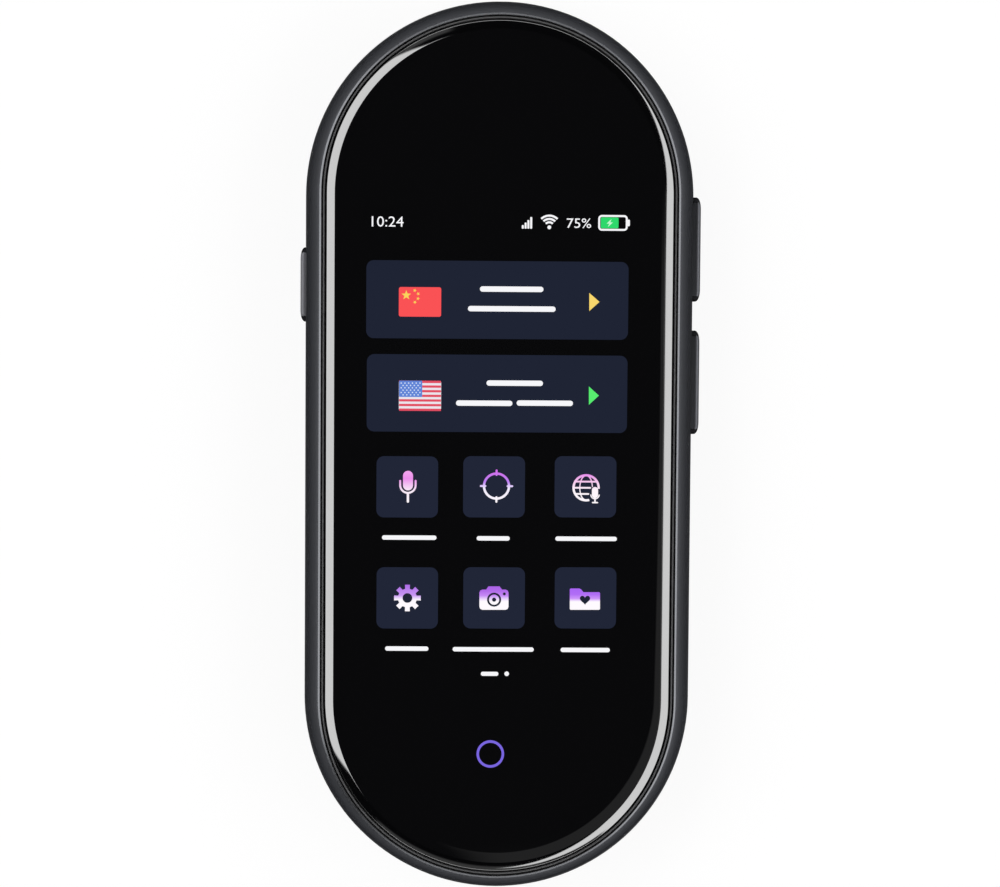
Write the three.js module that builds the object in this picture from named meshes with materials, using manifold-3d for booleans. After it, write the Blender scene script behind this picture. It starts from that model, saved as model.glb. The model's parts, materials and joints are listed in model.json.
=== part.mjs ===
// Handheld translator: a slate with round ends, a glass front over a display, two long talk
// keys on the right flank and a shorter power key on the left.
// Millimetres. It lies on its flat back: +X is right as the screen is read, +Y is the top end,
// +Z comes out of the screen, and the origin is the centre of the flat back.

import * as THREE from 'three';
import { mergeVertices } from 'three/addons/utils/BufferGeometryUtils.js';
import Module from 'manifold-3d';

const wasm = await Module();
wasm.setup();

// Outer form of the housing
const bodyWidth = 56; // across the flanks
const bodyLength = 128.4; // over the round ends
const bodyDepth = 12; // from the flat back to the top of the glass
const widestHeight = 5.6; // the flank's widest line, above the back
const backCurveInset = 4.5; // the flat back's edge, drawn in from the flank
const lipInset = 2.36; // outer edge of the lip round the glass
const lipWidth = 0.25;
const lipDrop = 0.62; // the lip's top, below the top of the glass
const edgeBreak = 0.12; // small chamfer where frame and cover meet
const frontCurveEnd = THREE.MathUtils.degToRad(78); // where the front curve stops at the lip

// Frame and rear cover
const frameWall = 2.2;
const coverWall = 1.2;
const partingHeight = 3.2; // the cover's rim, above the back
const coverTapeThickness = 0.15;
const coverTapeInset = 0.45; // the tape's outer edge, in from the rim's outer edge
const tongueGap = 0.15; // between the cover's tongue and the frame wall
const tongueThickness = 0.8;
const tongueHeight = 0.8;
const coverFillet = 1.05; // radius of the cover's inner corner
const midplateThickness = 0.7;

// Glass, gasket and display
const glassThickness = 1.1;
const glassFacetWidth = 1.1; // the ground facet round the glass
const glassFacetTilt = THREE.MathUtils.degToRad(22);
const glassRoundWidth = 0.13; // from the upright side to the facet
const glassRoundDepth = 0.24;
const glassEdgeGap = 0.1; // between glass and gasket
const gasketWidth = 0.4;
const gasketGap = 0.15; // between gasket and lip
const gasketTopDrop = 0.03; // the gasket's top, below the lip
const displayTapeThickness = 0.2;
const displayTapeWidth = 0.6;
const displayTapeEdgeGap = 0.1; // the tape's outer edge, in from the glass edge
const displaySideBorder = 5.4; // from the flank to the display's side edges
const displayTopBorder = 25.45; // from the top end to the display's top edge
const displayBottomBorder = 23.5; // from the bottom end to the display's bottom edge
const displayCornerRadius = 1.2;
const displayClearance = 0.3;
const cellThickness = 0.9;
const backlightThickness = 1.1;
const backlightMargin = 0.5; // the backlight's edges, in from the cell's edges
const cellLedge = 1.65; // bare strip of the cell at its top, where the flex is bonded

// Display flex
const displayFlexWidth = 11;
const displayFlexThickness = 0.15;
const displayFlexEdge = 0.25; // its upright run, in from the cell's top edge
const displayFlexSlotGap = 0.35; // the midplate's slot, past the flex on each side
const displayConnectorWidth = 10;
const displayConnectorLength = 2.6;
const displayConnectorHeight = 0.8;
const displayConnectorReach = 3; // from the flex's upright run to the connector
const flexEndMargin = 0.3; // a flex's end, past its connector

// Home ring below the display
const homeRingDrop = 3.09; // its centre, below the display's lower edge
const homeRingSide = 0.9; // its centre, left of the middle line
const homeRingRadius = 2.04;
const homeRingStroke = 0.36;
const homeBoardWidth = 8;
const homeBoardLength = 4.2;
const homeBoardThickness = 0.6;
const homeBoardCornerRadius = 0.8;
const homeBoardClearance = 0.3;

// Side keys
const talkKeyLength = 14.9;
const talkKeyProud = 1; // how far the cap stands out of the flank
const talkKeyRise = 0.1; // the upper cap's top, past the end of the straight flank
const talkKeyGap = 4.3; // between the two caps
const powerKeyLength = 10.6;
const powerKeyProud = 0.68;
const powerKeyDrop = 7.5; // its cap's top, below the end of the straight flank
const keyTravel = 0.4;
const keyCornerRadius = 1.1;
const keyRounding = 0.55; // rounded edge of the cap's outer face
const keyClearance = 0.15; // between the cap and its slot
const keyFlangeLip = 0.45; // the flange, past the cap on each side
const keyFlangeThickness = 0.7;
const keyFlangeGap = 0.1; // between the flange and the frame wall
const keySeatGap = 0.15; // between the flange, the tongue and the midplate
const nubLength = 0.5;
const nubRadius = 1;
const plungerRadius = 0.8;
const plungerClearance = 0.12;
const plungerSunk = 0.55; // the plunger's length inside the switch at rest
const plungerSpare = 0.12; // what is left between key and switch at full travel
const switchDepth = 1.4;
const switchLength = 4.6;
const switchHeight = 3.2;
const keyFlexThickness = 0.2;
const keyFlexHeight = 3.4;
const keyFlexMargin = 0.6; // the flex, past the lowest switch
const keyFlexTailLength = 3;
const keyFlexTailReach = 2.6; // how far the tail lies under the main board
const bracketThickness = 0.4;
const bracketMargin = 1.2; // the bracket, past its outer switches
const bracketFootWidth = 1.9;
const bracketFootThickness = 0.3;
const bracketDepth = 4; // from the midplate to the bracket's lower edge

// Boards, bosses and screws
const boardThickness = 0.8;
const boardEdgeGap = 0.35; // between a board and the cover's tongue
const boardSideGap = 0.5; // between the main board and the key brackets
const mainBoardStandoff = 1.6; // between the main board and the midplate
const lowerBoardGap = 0.2; // between the lower board and the tongue's height
const lowerBoardLength = 10.9;
const bossRadius = 1.6;
const screwShankRadius = 0.65;
const screwHeadRadius = 1.2;
const screwHeadHeight = 0.5;
const screwBite = 1.2; // the shank's length inside the boss
const screwHoleClearance = 0.12;
const screwTipGap = 0.3;
const screwRecessLength = 1.5;
const screwRecessWidth = 0.35;
const screwRecessDepth = 0.25;
const upperScrewDrop = 12; // the upper pair, below the top end
const upperScrewEdge = 8.4; // the upper pair, in from the main board's side edges
const lowerScrewRise = 8.4; // the lower board's pair, above its lowest edge
const lowerScrewGap = 2.6; // between the lower board's screws and the flex to the main board

// Main board's components, from the camera downwards
const cameraRise = 7.05; // the camera's centre, above the display's top edge
const cameraSize = 8.6;
const cameraCutGap = 0.4;
const cameraBarrelRadius = 3.2;
const cameraBarrelLength = 1.25;
const cameraLensRadius = 2.1;
const cameraLensThickness = 0.4;
const cameraLensSunk = 0.2; // the lens, behind the barrel's front
const cameraLensGap = 0.1;
const lightSealThickness = 1.4;
const lightSealWidth = 1;
const lightSealGap = 0.15;
const trimRadius = 5;
const trimGap = 0.15; // between the trim and the cover's hole
const trimSunk = 0.1; // the trim, behind the flat back
const trimFlangeWidth = 1;
const trimFlangeThickness = 0.4;
const trimRimWidth = 0.7;
const trimLedgeWidth = 0.9;
const windowGap = 0.1;
const windowSunk = 0.15; // the window, behind the trim's front
const windowThickness = 0.65;
const flashSide = 9.5; // the flash lamp, beside the camera
const flashPipeRadius = 1.6;
const flashFlangeWidth = 0.8;
const flashFlangeThickness = 0.5;
const flashLampSize = 2.6;
const flashLampHeight = 0.8;
const flashLampGap = 0.1;
const shieldGap = 2.8; // between the camera's cut-out and the shields
const shieldHeight = 1.6;
const shieldCornerRadius = 0.8;
const shieldSideGap = 1.4; // between the shields and the key flexes' tails
const shieldSpacing = 2; // between the two shields
const processorWidthShare = 0.69; // of the width that the two shields share
const processorLength = 17;
const radioLength = 13;
const connectorStrip = 9; // the board's length below the shields
const connectorEdge = 1.4; // a connector, above the board's lower edge
const connectorHeight = 1;
const connectorLength = 2.2;
const batteryConnectorWidth = 6;
const batteryConnectorSide = 8;
const boardScrewEdge = 4.5; // the single screw, above the board's lower edge

// Battery
const batterySideGap = 0.6; // between the battery and the key brackets
const batteryEndGap = 2; // between the battery and the main board
const batteryCornerRadius = 2;
const batteryEdge = 0.8; // rounded edge of the pouch
const batteryPadThickness = 0.2;
const batteryPadMargin = 4;
const batteryFlexWidth = 5;
const batteryFlexThickness = 0.15;

// Flex between the two boards, behind the battery
const boardFlexEdge = 0.75; // in from the lower board's round edge
const boardFlexWidth = 3.4;
const boardFlexThickness = 0.15;
const boardFlexFloorGap = 0.25; // between the cover's floor and the flex
const boardFlexBatteryGap = 0.3;
const boardFlexRise = 2.4; // length over which the flex climbs to a connector
const lowerConnectorHeight = 0.8;

// Speaker, between the battery and the lower board
const speakerGap = 1; // to the lower board and to the battery
const speakerSideGap = 1.3; // to the flex between the boards
const speakerLength = 12.5;
const speakerCornerRadius = 1;
const speakerEarWidth = 4;
const speakerEarLength = 4.4;
const speakerEarThickness = 0.8;
const speakerEarStandoff = 2.4;
const speakerGasketWidth = 1.3;
const speakerGasketThickness = 0.8;
const speakerMeshThickness = 0.2;
const speakerRim = 3.3; // from the speaker's sides to its mouth
const speakerMouthLength = 6.4;
const speakerMouthDepth = 0.6;
const soundHoleRadius = 0.75;
const soundHolePitch = 2.4;
const soundHoleMargin = 1.2; // from the mouth's edge to the first hole's middle

// USB-C socket
const usbWidth = 9;
const usbHeight = 3.2;
const usbLength = 7.4;
const usbWall = 0.3;
const usbMouthDepth = 6.2;
const usbMouthSunk = 0.5; // the mouth, behind the lower end
const usbClearance = 0.2;
const usbTongueWidth = 6.7;
const usbTongueThickness = 0.7;
const usbTongueSunk = 0.9; // the tongue, behind the mouth

// Microphones and antenna
const microphoneWidth = 3;
const microphoneLength = 2.2;
const microphoneHeight = 1;
const microphoneEdge = 0.7; // from the microphone to the board's edge
const bootHeight = 1.3;
const bootWallGap = 0.3;
const bootHoleRadius = 0.35;
const soundPortRadius = 0.5;
const lowerMicrophoneSide = 9.5;
const antennaWidth = 16;
const antennaLength = 5;
const antennaThickness = 0.15;
const antennaRise = 2.6; // above the lower board's lowest edge

// Counts
const capSegments = 24; // along each round end
const profileSteps = 5; // along each curve of the flank's profile
const bevelSteps = 4;
const edgeSteps = 2;
const filletSteps = 3;
const cornerSteps = 4;
const roundSides = 24;
const smallSides = 12;
const holeSides = 8;

const overrun = 0.5; // how far a cutting solid runs past the face that it cuts
const mergeTolerance = 1e-5;

// Sizes that follow from the ones above
const halfWidth = bodyWidth / 2;
const halfLength = bodyLength / 2;
const halfFlank = halfLength - halfWidth;
const lipHeight = bodyDepth - lipDrop;
const frameBottom = partingHeight + coverTapeThickness;
const tongueTop = partingHeight + tongueHeight;
const tongueInset = frameWall + tongueGap;
const cavityInset = tongueInset + tongueThickness;
const pocketInset = lipInset + lipWidth;
const gasketInset = pocketInset + gasketGap;
const glassInset = gasketInset + gasketWidth + glassEdgeGap;
const glassBottom = bodyDepth - glassThickness;
const shelfHeight = glassBottom - displayTapeThickness;
const displayTapeInset = glassInset + displayTapeEdgeGap;
const recessInset = displayTapeInset + displayTapeWidth;
const cellBottom = glassBottom - cellThickness;
const midplateTop = cellBottom - backlightThickness;
const midplateBottom = midplateTop - midplateThickness;
const displayWidth = bodyWidth - 2 * displaySideBorder;
const displayTop = halfLength - displayTopBorder;
const displayBottom = displayBottomBorder - halfLength;
const displayLength = displayTop - displayBottom;
const displayPlace = [0, (displayTop + displayBottom) / 2];
const boardInset = cavityInset + boardEdgeGap;

// Plain solids

// A closed mesh as a solid that can be joined and cut.
function solid(geometry) {
  const bare = geometry.clone();
  bare.deleteAttribute('normal');
  bare.deleteAttribute('uv');
  const merged = mergeVertices(bare, mergeTolerance);
  const corners = merged.index.array;
  const faces = [];
  for (let first = 0; first < corners.length; first += 3) {
    const [a, b, c] = corners.slice(first, first + 3);
    if (a !== b && b !== c && c !== a) {
      faces.push(a, b, c);
    }
  }
  return new wasm.Manifold(new wasm.Mesh({
    numProp: 3,
    vertProperties: new Float32Array(merged.attributes.position.array),
    triVerts: new Uint32Array(faces),
  }));
}

// A block between two faces on each axis.
function block([left, right], [near, far], [low, high]) {
  const box = new THREE.BoxGeometry(right - left, far - near, high - low);
  return solid(box.translate((left + right) / 2, (near + far) / 2, (low + high) / 2));
}

// A range of the given length about a middle.
function about(middle, length) {
  return [middle - length / 2, middle + length / 2];
}

// A closed mesh through a stack of convex outlines. Each layer is [inset, height].
function loft(outline, layers) {
  const points = [];
  const faces = [];
  for (const [inset, height] of layers) {
    for (const [x, y] of outline(inset)) {
      points.push(x, y, height);
    }
  }
  const count = points.length / 3 / layers.length;
  for (let layer = 1; layer < layers.length; layer += 1) {
    for (let step = 0; step < count; step += 1) {
      const low = (layer - 1) * count;
      const high = layer * count;
      const next = (step + 1) % count;
      faces.push(low + step, low + next, high + next);
      faces.push(low + step, high + next, high + step);
    }
  }
  const top = (layers.length - 1) * count;
  for (let step = 2; step < count; step += 1) {
    faces.push(0, step, step - 1);
    faces.push(top, top + step - 1, top + step);
  }
  const geometry = new THREE.BufferGeometry();
  geometry.setAttribute('position', new THREE.Float32BufferAttribute(points, 3));
  geometry.setIndex(faces);
  return geometry;
}

// The housing's outline: two half circles joined by straight flanks, drawn in by an inset.
function slate(inset) {
  const radius = halfWidth - inset;
  const points = [];
  for (const end of [1, -1]) {
    for (let step = 0; step <= capSegments; step += 1) {
      const angle = (step / capSegments) * Math.PI;
      points.push([end * radius * Math.cos(angle), end * (halfFlank + radius * Math.sin(angle))]);
    }
  }
  return points;
}

// An upright solid with the housing's outline.
function slatePrism(inset, low, high) {
  return solid(loft(slate, [[inset, low], [inset, high]]));
}

// A rectangle with round corners, centred on the origin, as an outline that can be drawn in.
function roundedRectangle(width, length, radius) {
  return (inset) => {
    const points = [];
    const corner = Math.max(radius - inset, edgeBreak);
    for (let quarter = 0; quarter < 4; quarter += 1) {
      const right = quarter === 0 || quarter === 3 ? 1 : -1;
      const upper = quarter < 2 ? 1 : -1;
      for (let step = 0; step <= cornerSteps; step += 1) {
        const angle = (quarter + step / cornerSteps) * Math.PI / 2;
        points.push([
          right * (width / 2 - inset - corner) + corner * Math.cos(angle),
          upper * (length / 2 - inset - corner) + corner * Math.sin(angle),
        ]);
      }
    }
    return points;
  };
}

// An upright plate with round corners about a place.
function roundedPlate([x, y], width, length, radius, low, high) {
  const plate = loft(roundedRectangle(width, length, radius), [[0, low], [0, high]]);
  return solid(plate.translate(x, y, 0));
}

// A turned solid about an upright axis. The profile is [radius, height], from low to high,
// and starts and ends on the axis.
function turned([x, y], profile, sides) {
  const points = profile.map(([radius, height]) => new THREE.Vector2(radius, height));
  const lathe = new THREE.LatheGeometry(points, sides);
  return solid(lathe.rotateX(Math.PI / 2).translate(x, y, 0));
}

// An upright round bar about a place.
function bar(place, radius, low, high, sides) {
  return turned(place, [[0, low], [radius, low], [radius, high], [0, high]], sides);
}

// A round bar along Y, for the ports in the two ends.
function portBar(x, height, radius, near, far) {
  const cylinder = new THREE.CylinderGeometry(radius, radius, far - near, holeSides);
  return solid(cylinder.translate(x, (near + far) / 2, height));
}

// A strip of a flex: a path of [along, height] points in the YZ plane, thickened upwards.
function strip(x, width, thickness, path) {
  const outline = new THREE.Shape();
  path.forEach(([along, height], index) => {
    if (index === 0) {
      outline.moveTo(along, height);
    } else {
      outline.lineTo(along, height);
    }
  });
  for (const [along, height] of [...path].reverse()) {
    outline.lineTo(along, height + thickness);
  }
  const extruded = new THREE.ExtrudeGeometry(outline, { depth: width, bevelEnabled: false });
  const turnedUp = extruded.rotateX(Math.PI / 2).rotateZ(Math.PI / 2);
  return solid(turnedUp.translate(x - width / 2, 0, 0));
}

// Turns a solid built up +Z so that +Z points out of a flank: side 1 is right, -1 is left.
function outOfFlank(geometry, side, y, z) {
  return solid(geometry.rotateY(side * Math.PI / 2).translate(0, y, z));
}

// Materials

function finish(color, roughness, metalness, more = {}) {
  return new THREE.MeshStandardMaterial({ color, roughness, metalness, ...more });
}

const materials = {
  frame: finish(0x45474b, 0.42, 0.85),
  key: finish(0x4a4c50, 0.38, 0.85),
  cover: finish(0x35373b, 0.6, 0),
  glass: finish(0x050506, 0.05, 0),
  rubber: finish(0x3a3a3c, 0.8, 0),
  tape: finish(0x18181a, 0.9, 0),
  display: finish(0x1a1e2b, 0.3, 0),
  backlight: finish(0xd9dcdf, 0.5, 0),
  flex: finish(0xb5701e, 0.5, 0),
  board: finish(0x14402c, 0.55, 0),
  shield: finish(0xb4b7ba, 0.35, 0.9),
  steel: finish(0x9a9ca0, 0.35, 0.95),
  connector: finish(0xe3ded2, 0.6, 0),
  plastic: finish(0x1d1e20, 0.55, 0),
  battery: finish(0x2b2d31, 0.45, 0.1),
  foam: finish(0x2a2a2c, 0.95, 0),
  lens: finish(0x101418, 0.05, 0),
  diffuser: finish(0xe9e6f5, 0.45, 0),
};

const translator = new THREE.Group();

function addPiece(name, shape, material) {
  const { vertProperties, triVerts } = shape.getMesh();
  const geometry = new THREE.BufferGeometry();
  geometry.setAttribute('position', new THREE.BufferAttribute(Float32Array.from(vertProperties), 3));
  geometry.setIndex(new THREE.BufferAttribute(Uint32Array.from(triVerts), 1));
  geometry.computeVertexNormals();
  const piece = new THREE.Mesh(geometry, material);
  piece.name = name;
  translator.add(piece);
}

// Places along the body, chained from the ends inwards
const cameraPlace = [0, displayTop + cameraRise];
const cameraCut = cameraSize + 2 * cameraCutGap;
const shieldTop = cameraPlace[1] - cameraCut / 2 - shieldGap;
const shieldBottom = shieldTop - processorLength;
const mainBoardBottom = shieldBottom - connectorStrip;
const mainBoardTop = halfLength - boardInset;
const lowerBoardBottom = boardInset - halfLength;
const lowerBoardTop = lowerBoardBottom + lowerBoardLength;
const speakerCentre = lowerBoardTop + speakerGap + speakerLength / 2;
const batteryBottom = speakerCentre + speakerLength / 2 + speakerGap;
const batteryTop = mainBoardBottom - batteryEndGap;

// Heights of the boards, above the flat back
const mainBoardHeight = midplateBottom - mainBoardStandoff; // its face towards the screen
const mainBoardBack = mainBoardHeight - boardThickness;
const lowerBoardHeight = tongueTop + lowerBoardGap;
const lowerBoardBack = lowerBoardHeight - boardThickness;
const speakerEarTop = midplateBottom - speakerEarStandoff;
const speakerEarBottom = speakerEarTop - speakerEarThickness;
const speakerFront = coverWall + speakerMeshThickness + speakerGasketThickness;
const usbHeightMiddle = lowerBoardHeight + usbHeight / 2;
const usbMouth = usbMouthSunk - halfLength;
const trimTop = coverWall + trimFlangeThickness;
const cameraFront = trimTop + lightSealThickness;
const upperPortHeight = mainBoardHeight + bootHeight / 2;
const lowerPortHeight = lowerBoardHeight + bootHeight / 2;
const homePlace = [-homeRingSide, displayBottom - homeRingDrop];
const flashPlace = [cameraPlace[0] + flashSide, cameraPlace[1]];

// Distances out of the body's middle at a side key
const flangeOuter = halfWidth - frameWall - keyFlangeGap;
const flangeInner = flangeOuter - keyFlangeThickness;
const nubEnd = flangeInner - nubLength;
const switchFace = nubEnd - keyTravel - plungerSpare;
const switchBack = switchFace - switchDepth;
const plungerEnd = switchFace - plungerSunk;
const plungerBoreEnd = plungerEnd - keyTravel - plungerSpare;
const flexBack = switchBack - keyFlexThickness;
const bracketBack = flexBack - bracketThickness;
const mainBoardHalf = bracketBack - boardSideGap;
const upperScrewSide = mainBoardHalf - upperScrewEdge;
const connectorLow = lowerBoardTop - connectorEdge - connectorLength;
const lowerBoardReach = Math.sqrt((halfWidth - boardInset) ** 2 - (connectorLow + halfFlank) ** 2);
const boardFlexSide = lowerBoardReach - boardFlexEdge - boardFlexWidth / 2;
const lowerScrewSide = boardFlexSide - boardFlexWidth / 2 - lowerScrewGap - screwHeadRadius;
const speakerWidth = 2 * (boardFlexSide - boardFlexWidth / 2 - speakerSideGap);
const speakerMouthWidth = speakerWidth - 2 * speakerRim;

// Heights and widths of a side key
const keySpace = midplateBottom - tongueTop;
const keyMiddle = tongueTop + keySpace / 2;
const flangeHeight = keySpace - 2 * keySeatGap;
const keyHeight = flangeHeight - 2 * keyFlangeLip;

// The three side keys: side 1 is the right flank, -1 the left
const upperTalkMiddle = halfFlank + talkKeyRise - talkKeyLength / 2;
const lowerTalkMiddle = upperTalkMiddle - talkKeyLength - talkKeyGap;
const powerMiddle = halfFlank - powerKeyDrop - powerKeyLength / 2;
const sideKeys = [
  { name: 'upper_talk', side: 1, middle: upperTalkMiddle, length: talkKeyLength, proud: talkKeyProud },
  { name: 'lower_talk', side: 1, middle: lowerTalkMiddle, length: talkKeyLength, proud: talkKeyProud },
  { name: 'power', side: -1, middle: powerMiddle, length: powerKeyLength, proud: powerKeyProud },
];

// Screws: [x, y, height of the face under the head, thickness of what it holds]
const boardScrews = [
  { name: 'board_screw_1', place: [-upperScrewSide, halfLength - upperScrewDrop] },
  { name: 'board_screw_2', place: [upperScrewSide, halfLength - upperScrewDrop] },
  { name: 'board_screw_3', place: [0, mainBoardBottom + boardScrewEdge] },
].map((screw) => ({ ...screw, face: mainBoardBack, held: boardThickness }));
const lowerScrews = [
  { name: 'lower_board_screw_1', place: [-lowerScrewSide, lowerBoardBottom + lowerScrewRise] },
  { name: 'lower_board_screw_2', place: [lowerScrewSide, lowerBoardBottom + lowerScrewRise] },
].map((screw) => ({ ...screw, face: lowerBoardBack, held: boardThickness }));
const speakerScrewSide = (speakerWidth + speakerEarWidth) / 2;
const speakerScrews = [
  { name: 'speaker_screw_1', place: [-speakerScrewSide, speakerCentre] },
  { name: 'speaker_screw_2', place: [speakerScrewSide, speakerCentre] },
].map((screw) => ({ ...screw, face: speakerEarBottom, held: speakerEarThickness }));
const screws = [...boardScrews, ...lowerScrews, ...speakerScrews];

// How far the flank is drawn in at a height below its widest line.
function backInset(height) {
  const share = (widestHeight - height) / widestHeight;
  return backCurveInset * (1 - Math.sqrt(1 - share * share));
}

// Layers of the flank's front curve, from the widest line to the lip.
function frontCurve() {
  const layers = [];
  for (let step = 0; step <= profileSteps; step += 1) {
    const angle = (step / profileSteps) * frontCurveEnd;
    const inset = lipInset * (1 - Math.cos(angle)) / (1 - Math.cos(frontCurveEnd));
    const rise = (lipHeight - widestHeight) * Math.sin(angle) / Math.sin(frontCurveEnd);
    layers.push([inset, widestHeight + rise]);
  }
  return layers;
}

// Layers of the flank's back curve between two heights.
function backCurve(low, high, steps) {
  const layers = [];
  for (let step = 0; step <= steps; step += 1) {
    const height = low + (high - low) * (step / steps);
    layers.push([backInset(height), height]);
  }
  return layers;
}

// A hole that takes a screw's shank, with its clearance.
function screwHole({ place, face, held }) {
  const radius = screwShankRadius + screwHoleClearance;
  return bar(place, radius, face - overrun, face + held + screwBite + screwTipGap, smallSides);
}

// Opening in the lower end for the socket.
function usbOpening(grow) {
  const width = usbWidth + 2 * grow;
  const height = usbHeight + 2 * grow;
  const outline = roundedRectangle(width, height, usbHeight / 2 + grow);
  const tunnel = loft(outline, [[0, usbMouth - 2 * overrun], [0, usbMouth + usbLength + grow]]);
  return solid(tunnel.rotateX(-Math.PI / 2).translate(0, 0, usbHeightMiddle));
}

// Frame: one casting with the side wall, the deck under the glass and the midplate
function frameShell() {
  const layers = [
    [backInset(frameBottom) + edgeBreak, frameBottom],
    ...backCurve(frameBottom + edgeBreak, widestHeight, 2).slice(0, -1),
    ...frontCurve(),
  ];
  return solid(loft(slate, layers))
    .subtract(slatePrism(frameWall, frameBottom - overrun, midplateBottom))
    .subtract(slatePrism(pocketInset, shelfHeight, bodyDepth + overrun));
}

// Recess of the display in the frame's deck, with the slot for its flex through the midplate.
function displayRecess() {
  const grow = 2 * displayClearance;
  const width = displayWidth + grow;
  const length = displayLength + grow;
  const radius = displayCornerRadius + displayClearance;
  const top = shelfHeight + overrun;
  const recess = roundedPlate(displayPlace, width, length, radius, midplateTop, top);
  const flexFace = displayTop - displayFlexEdge;
  const slot = block(
    about(0, displayFlexWidth + 2 * displayFlexSlotGap),
    [flexFace - displayFlexThickness - displayFlexSlotGap, flexFace + displayFlexSlotGap],
    [midplateBottom - overrun, midplateTop + overrun],
  );
  return recess.intersect(slatePrism(recessInset, midplateTop - overrun, top + overrun)).add(slot);
}

function homeRecess() {
  const grow = 2 * homeBoardClearance;
  const width = homeBoardWidth + grow;
  const length = homeBoardLength + grow;
  const radius = homeBoardCornerRadius + homeBoardClearance;
  return roundedPlate(homePlace, width, length, radius, midplateTop, shelfHeight + overrun);
}

function keySlot({ side, middle, length }) {
  const width = keyHeight + 2 * keyClearance;
  const outline = roundedRectangle(width, length + 2 * keyClearance, keyCornerRadius + keyClearance);
  const slot = loft(outline, [[0, flangeOuter], [0, halfWidth + overrun]]);
  return outOfFlank(slot, side, middle, keyMiddle);
}

function buildFrame() {
  let frame = frameShell();
  for (const { place, face, held } of screws) {
    frame = frame.add(bar(place, bossRadius, face + held, midplateTop - edgeBreak, smallSides));
  }
  for (const screw of screws) {
    frame = frame.subtract(screwHole(screw));
  }
  for (const key of sideKeys) {
    frame = frame.subtract(keySlot(key));
  }
  const portDepth = frameWall + overrun;
  const upperPort = [halfLength - portDepth, halfLength + overrun];
  const lowerPort = [-halfLength - overrun, frameWall + overrun + capDrop(lowerMicrophoneSide) - halfLength];
  frame = frame
    .subtract(displayRecess())
    .subtract(homeRecess())
    .subtract(usbOpening(usbClearance))
    .subtract(portBar(0, upperPortHeight, soundPortRadius, ...upperPort))
    .subtract(portBar(lowerMicrophoneSide, lowerPortHeight, soundPortRadius, ...lowerPort));
  addPiece('mid_frame', frame, materials.frame);
}

// How far a round end falls back at a distance from the middle line.
function capDrop(side) {
  return halfWidth - Math.sqrt(halfWidth * halfWidth - side * side);
}

// How many sound holes fit along one side of the speaker's mouth.
function holeCount(span) {
  return Math.max(1, Math.floor((span - 2 * soundHoleMargin) / soundHolePitch) + 1);
}

// Rear cover: a shallow shell with a tongue that sits inside the frame
function buildCover() {
  const outer = [];
  for (let step = 0; step <= profileSteps; step += 1) {
    const share = Math.sin((1 - step / profileSteps) * Math.PI / 2);
    const height = (partingHeight - edgeBreak) * (1 - share);
    outer.push([backInset(height), height]);
  }
  outer.push([backInset(partingHeight) + edgeBreak, partingHeight]);
  const tongue = [[tongueInset, coverWall], [tongueInset, tongueTop]];
  const cavity = [];
  for (let step = 0; step <= filletSteps; step += 1) {
    const angle = (step / filletSteps) * Math.PI / 2;
    const inset = cavityInset + coverFillet * (1 - Math.sin(angle));
    cavity.push([inset, coverWall + coverFillet * (1 - Math.cos(angle))]);
  }
  cavity.push([cavityInset, tongueTop + overrun]);
  let cover = solid(loft(slate, outer)).add(solid(loft(slate, tongue))).subtract(solid(loft(slate, cavity)));
  const notch = about(0, usbWidth + 2 * usbClearance);
  const notchDepth = [-halfLength, cavityInset + overrun - halfLength];
  cover = cover.subtract(block(notch, notchDepth, [partingHeight, tongueTop + overrun]));
  cover = cover.subtract(bar(cameraPlace, trimRadius + trimGap, -overrun, coverWall + overrun, roundSides));
  const flashHole = flashPipeRadius + trimGap;
  cover = cover.subtract(bar(flashPlace, flashHole, -overrun, coverWall + overrun, smallSides));
  const columns = holeCount(speakerMouthWidth);
  const rows = holeCount(speakerMouthLength);
  for (let row = 0; row < rows; row += 1) {
    for (let column = 0; column < columns; column += 1) {
      const x = (column - (columns - 1) / 2) * soundHolePitch;
      const y = speakerCentre + (row - (rows - 1) / 2) * soundHolePitch;
      cover = cover.subtract(bar([x, y], soundHoleRadius, -overrun, coverWall + overrun, holeSides));
    }
  }
  addPiece('rear_cover', cover, materials.cover);
  const tapeInset = backInset(partingHeight) + coverTapeInset;
  const tape = slatePrism(tapeInset, partingHeight, frameBottom)
    .subtract(slatePrism(tongueInset - tongueGap, partingHeight - overrun, frameBottom + overrun));
  addPiece('cover_tape', tape, materials.tape);
}

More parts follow.
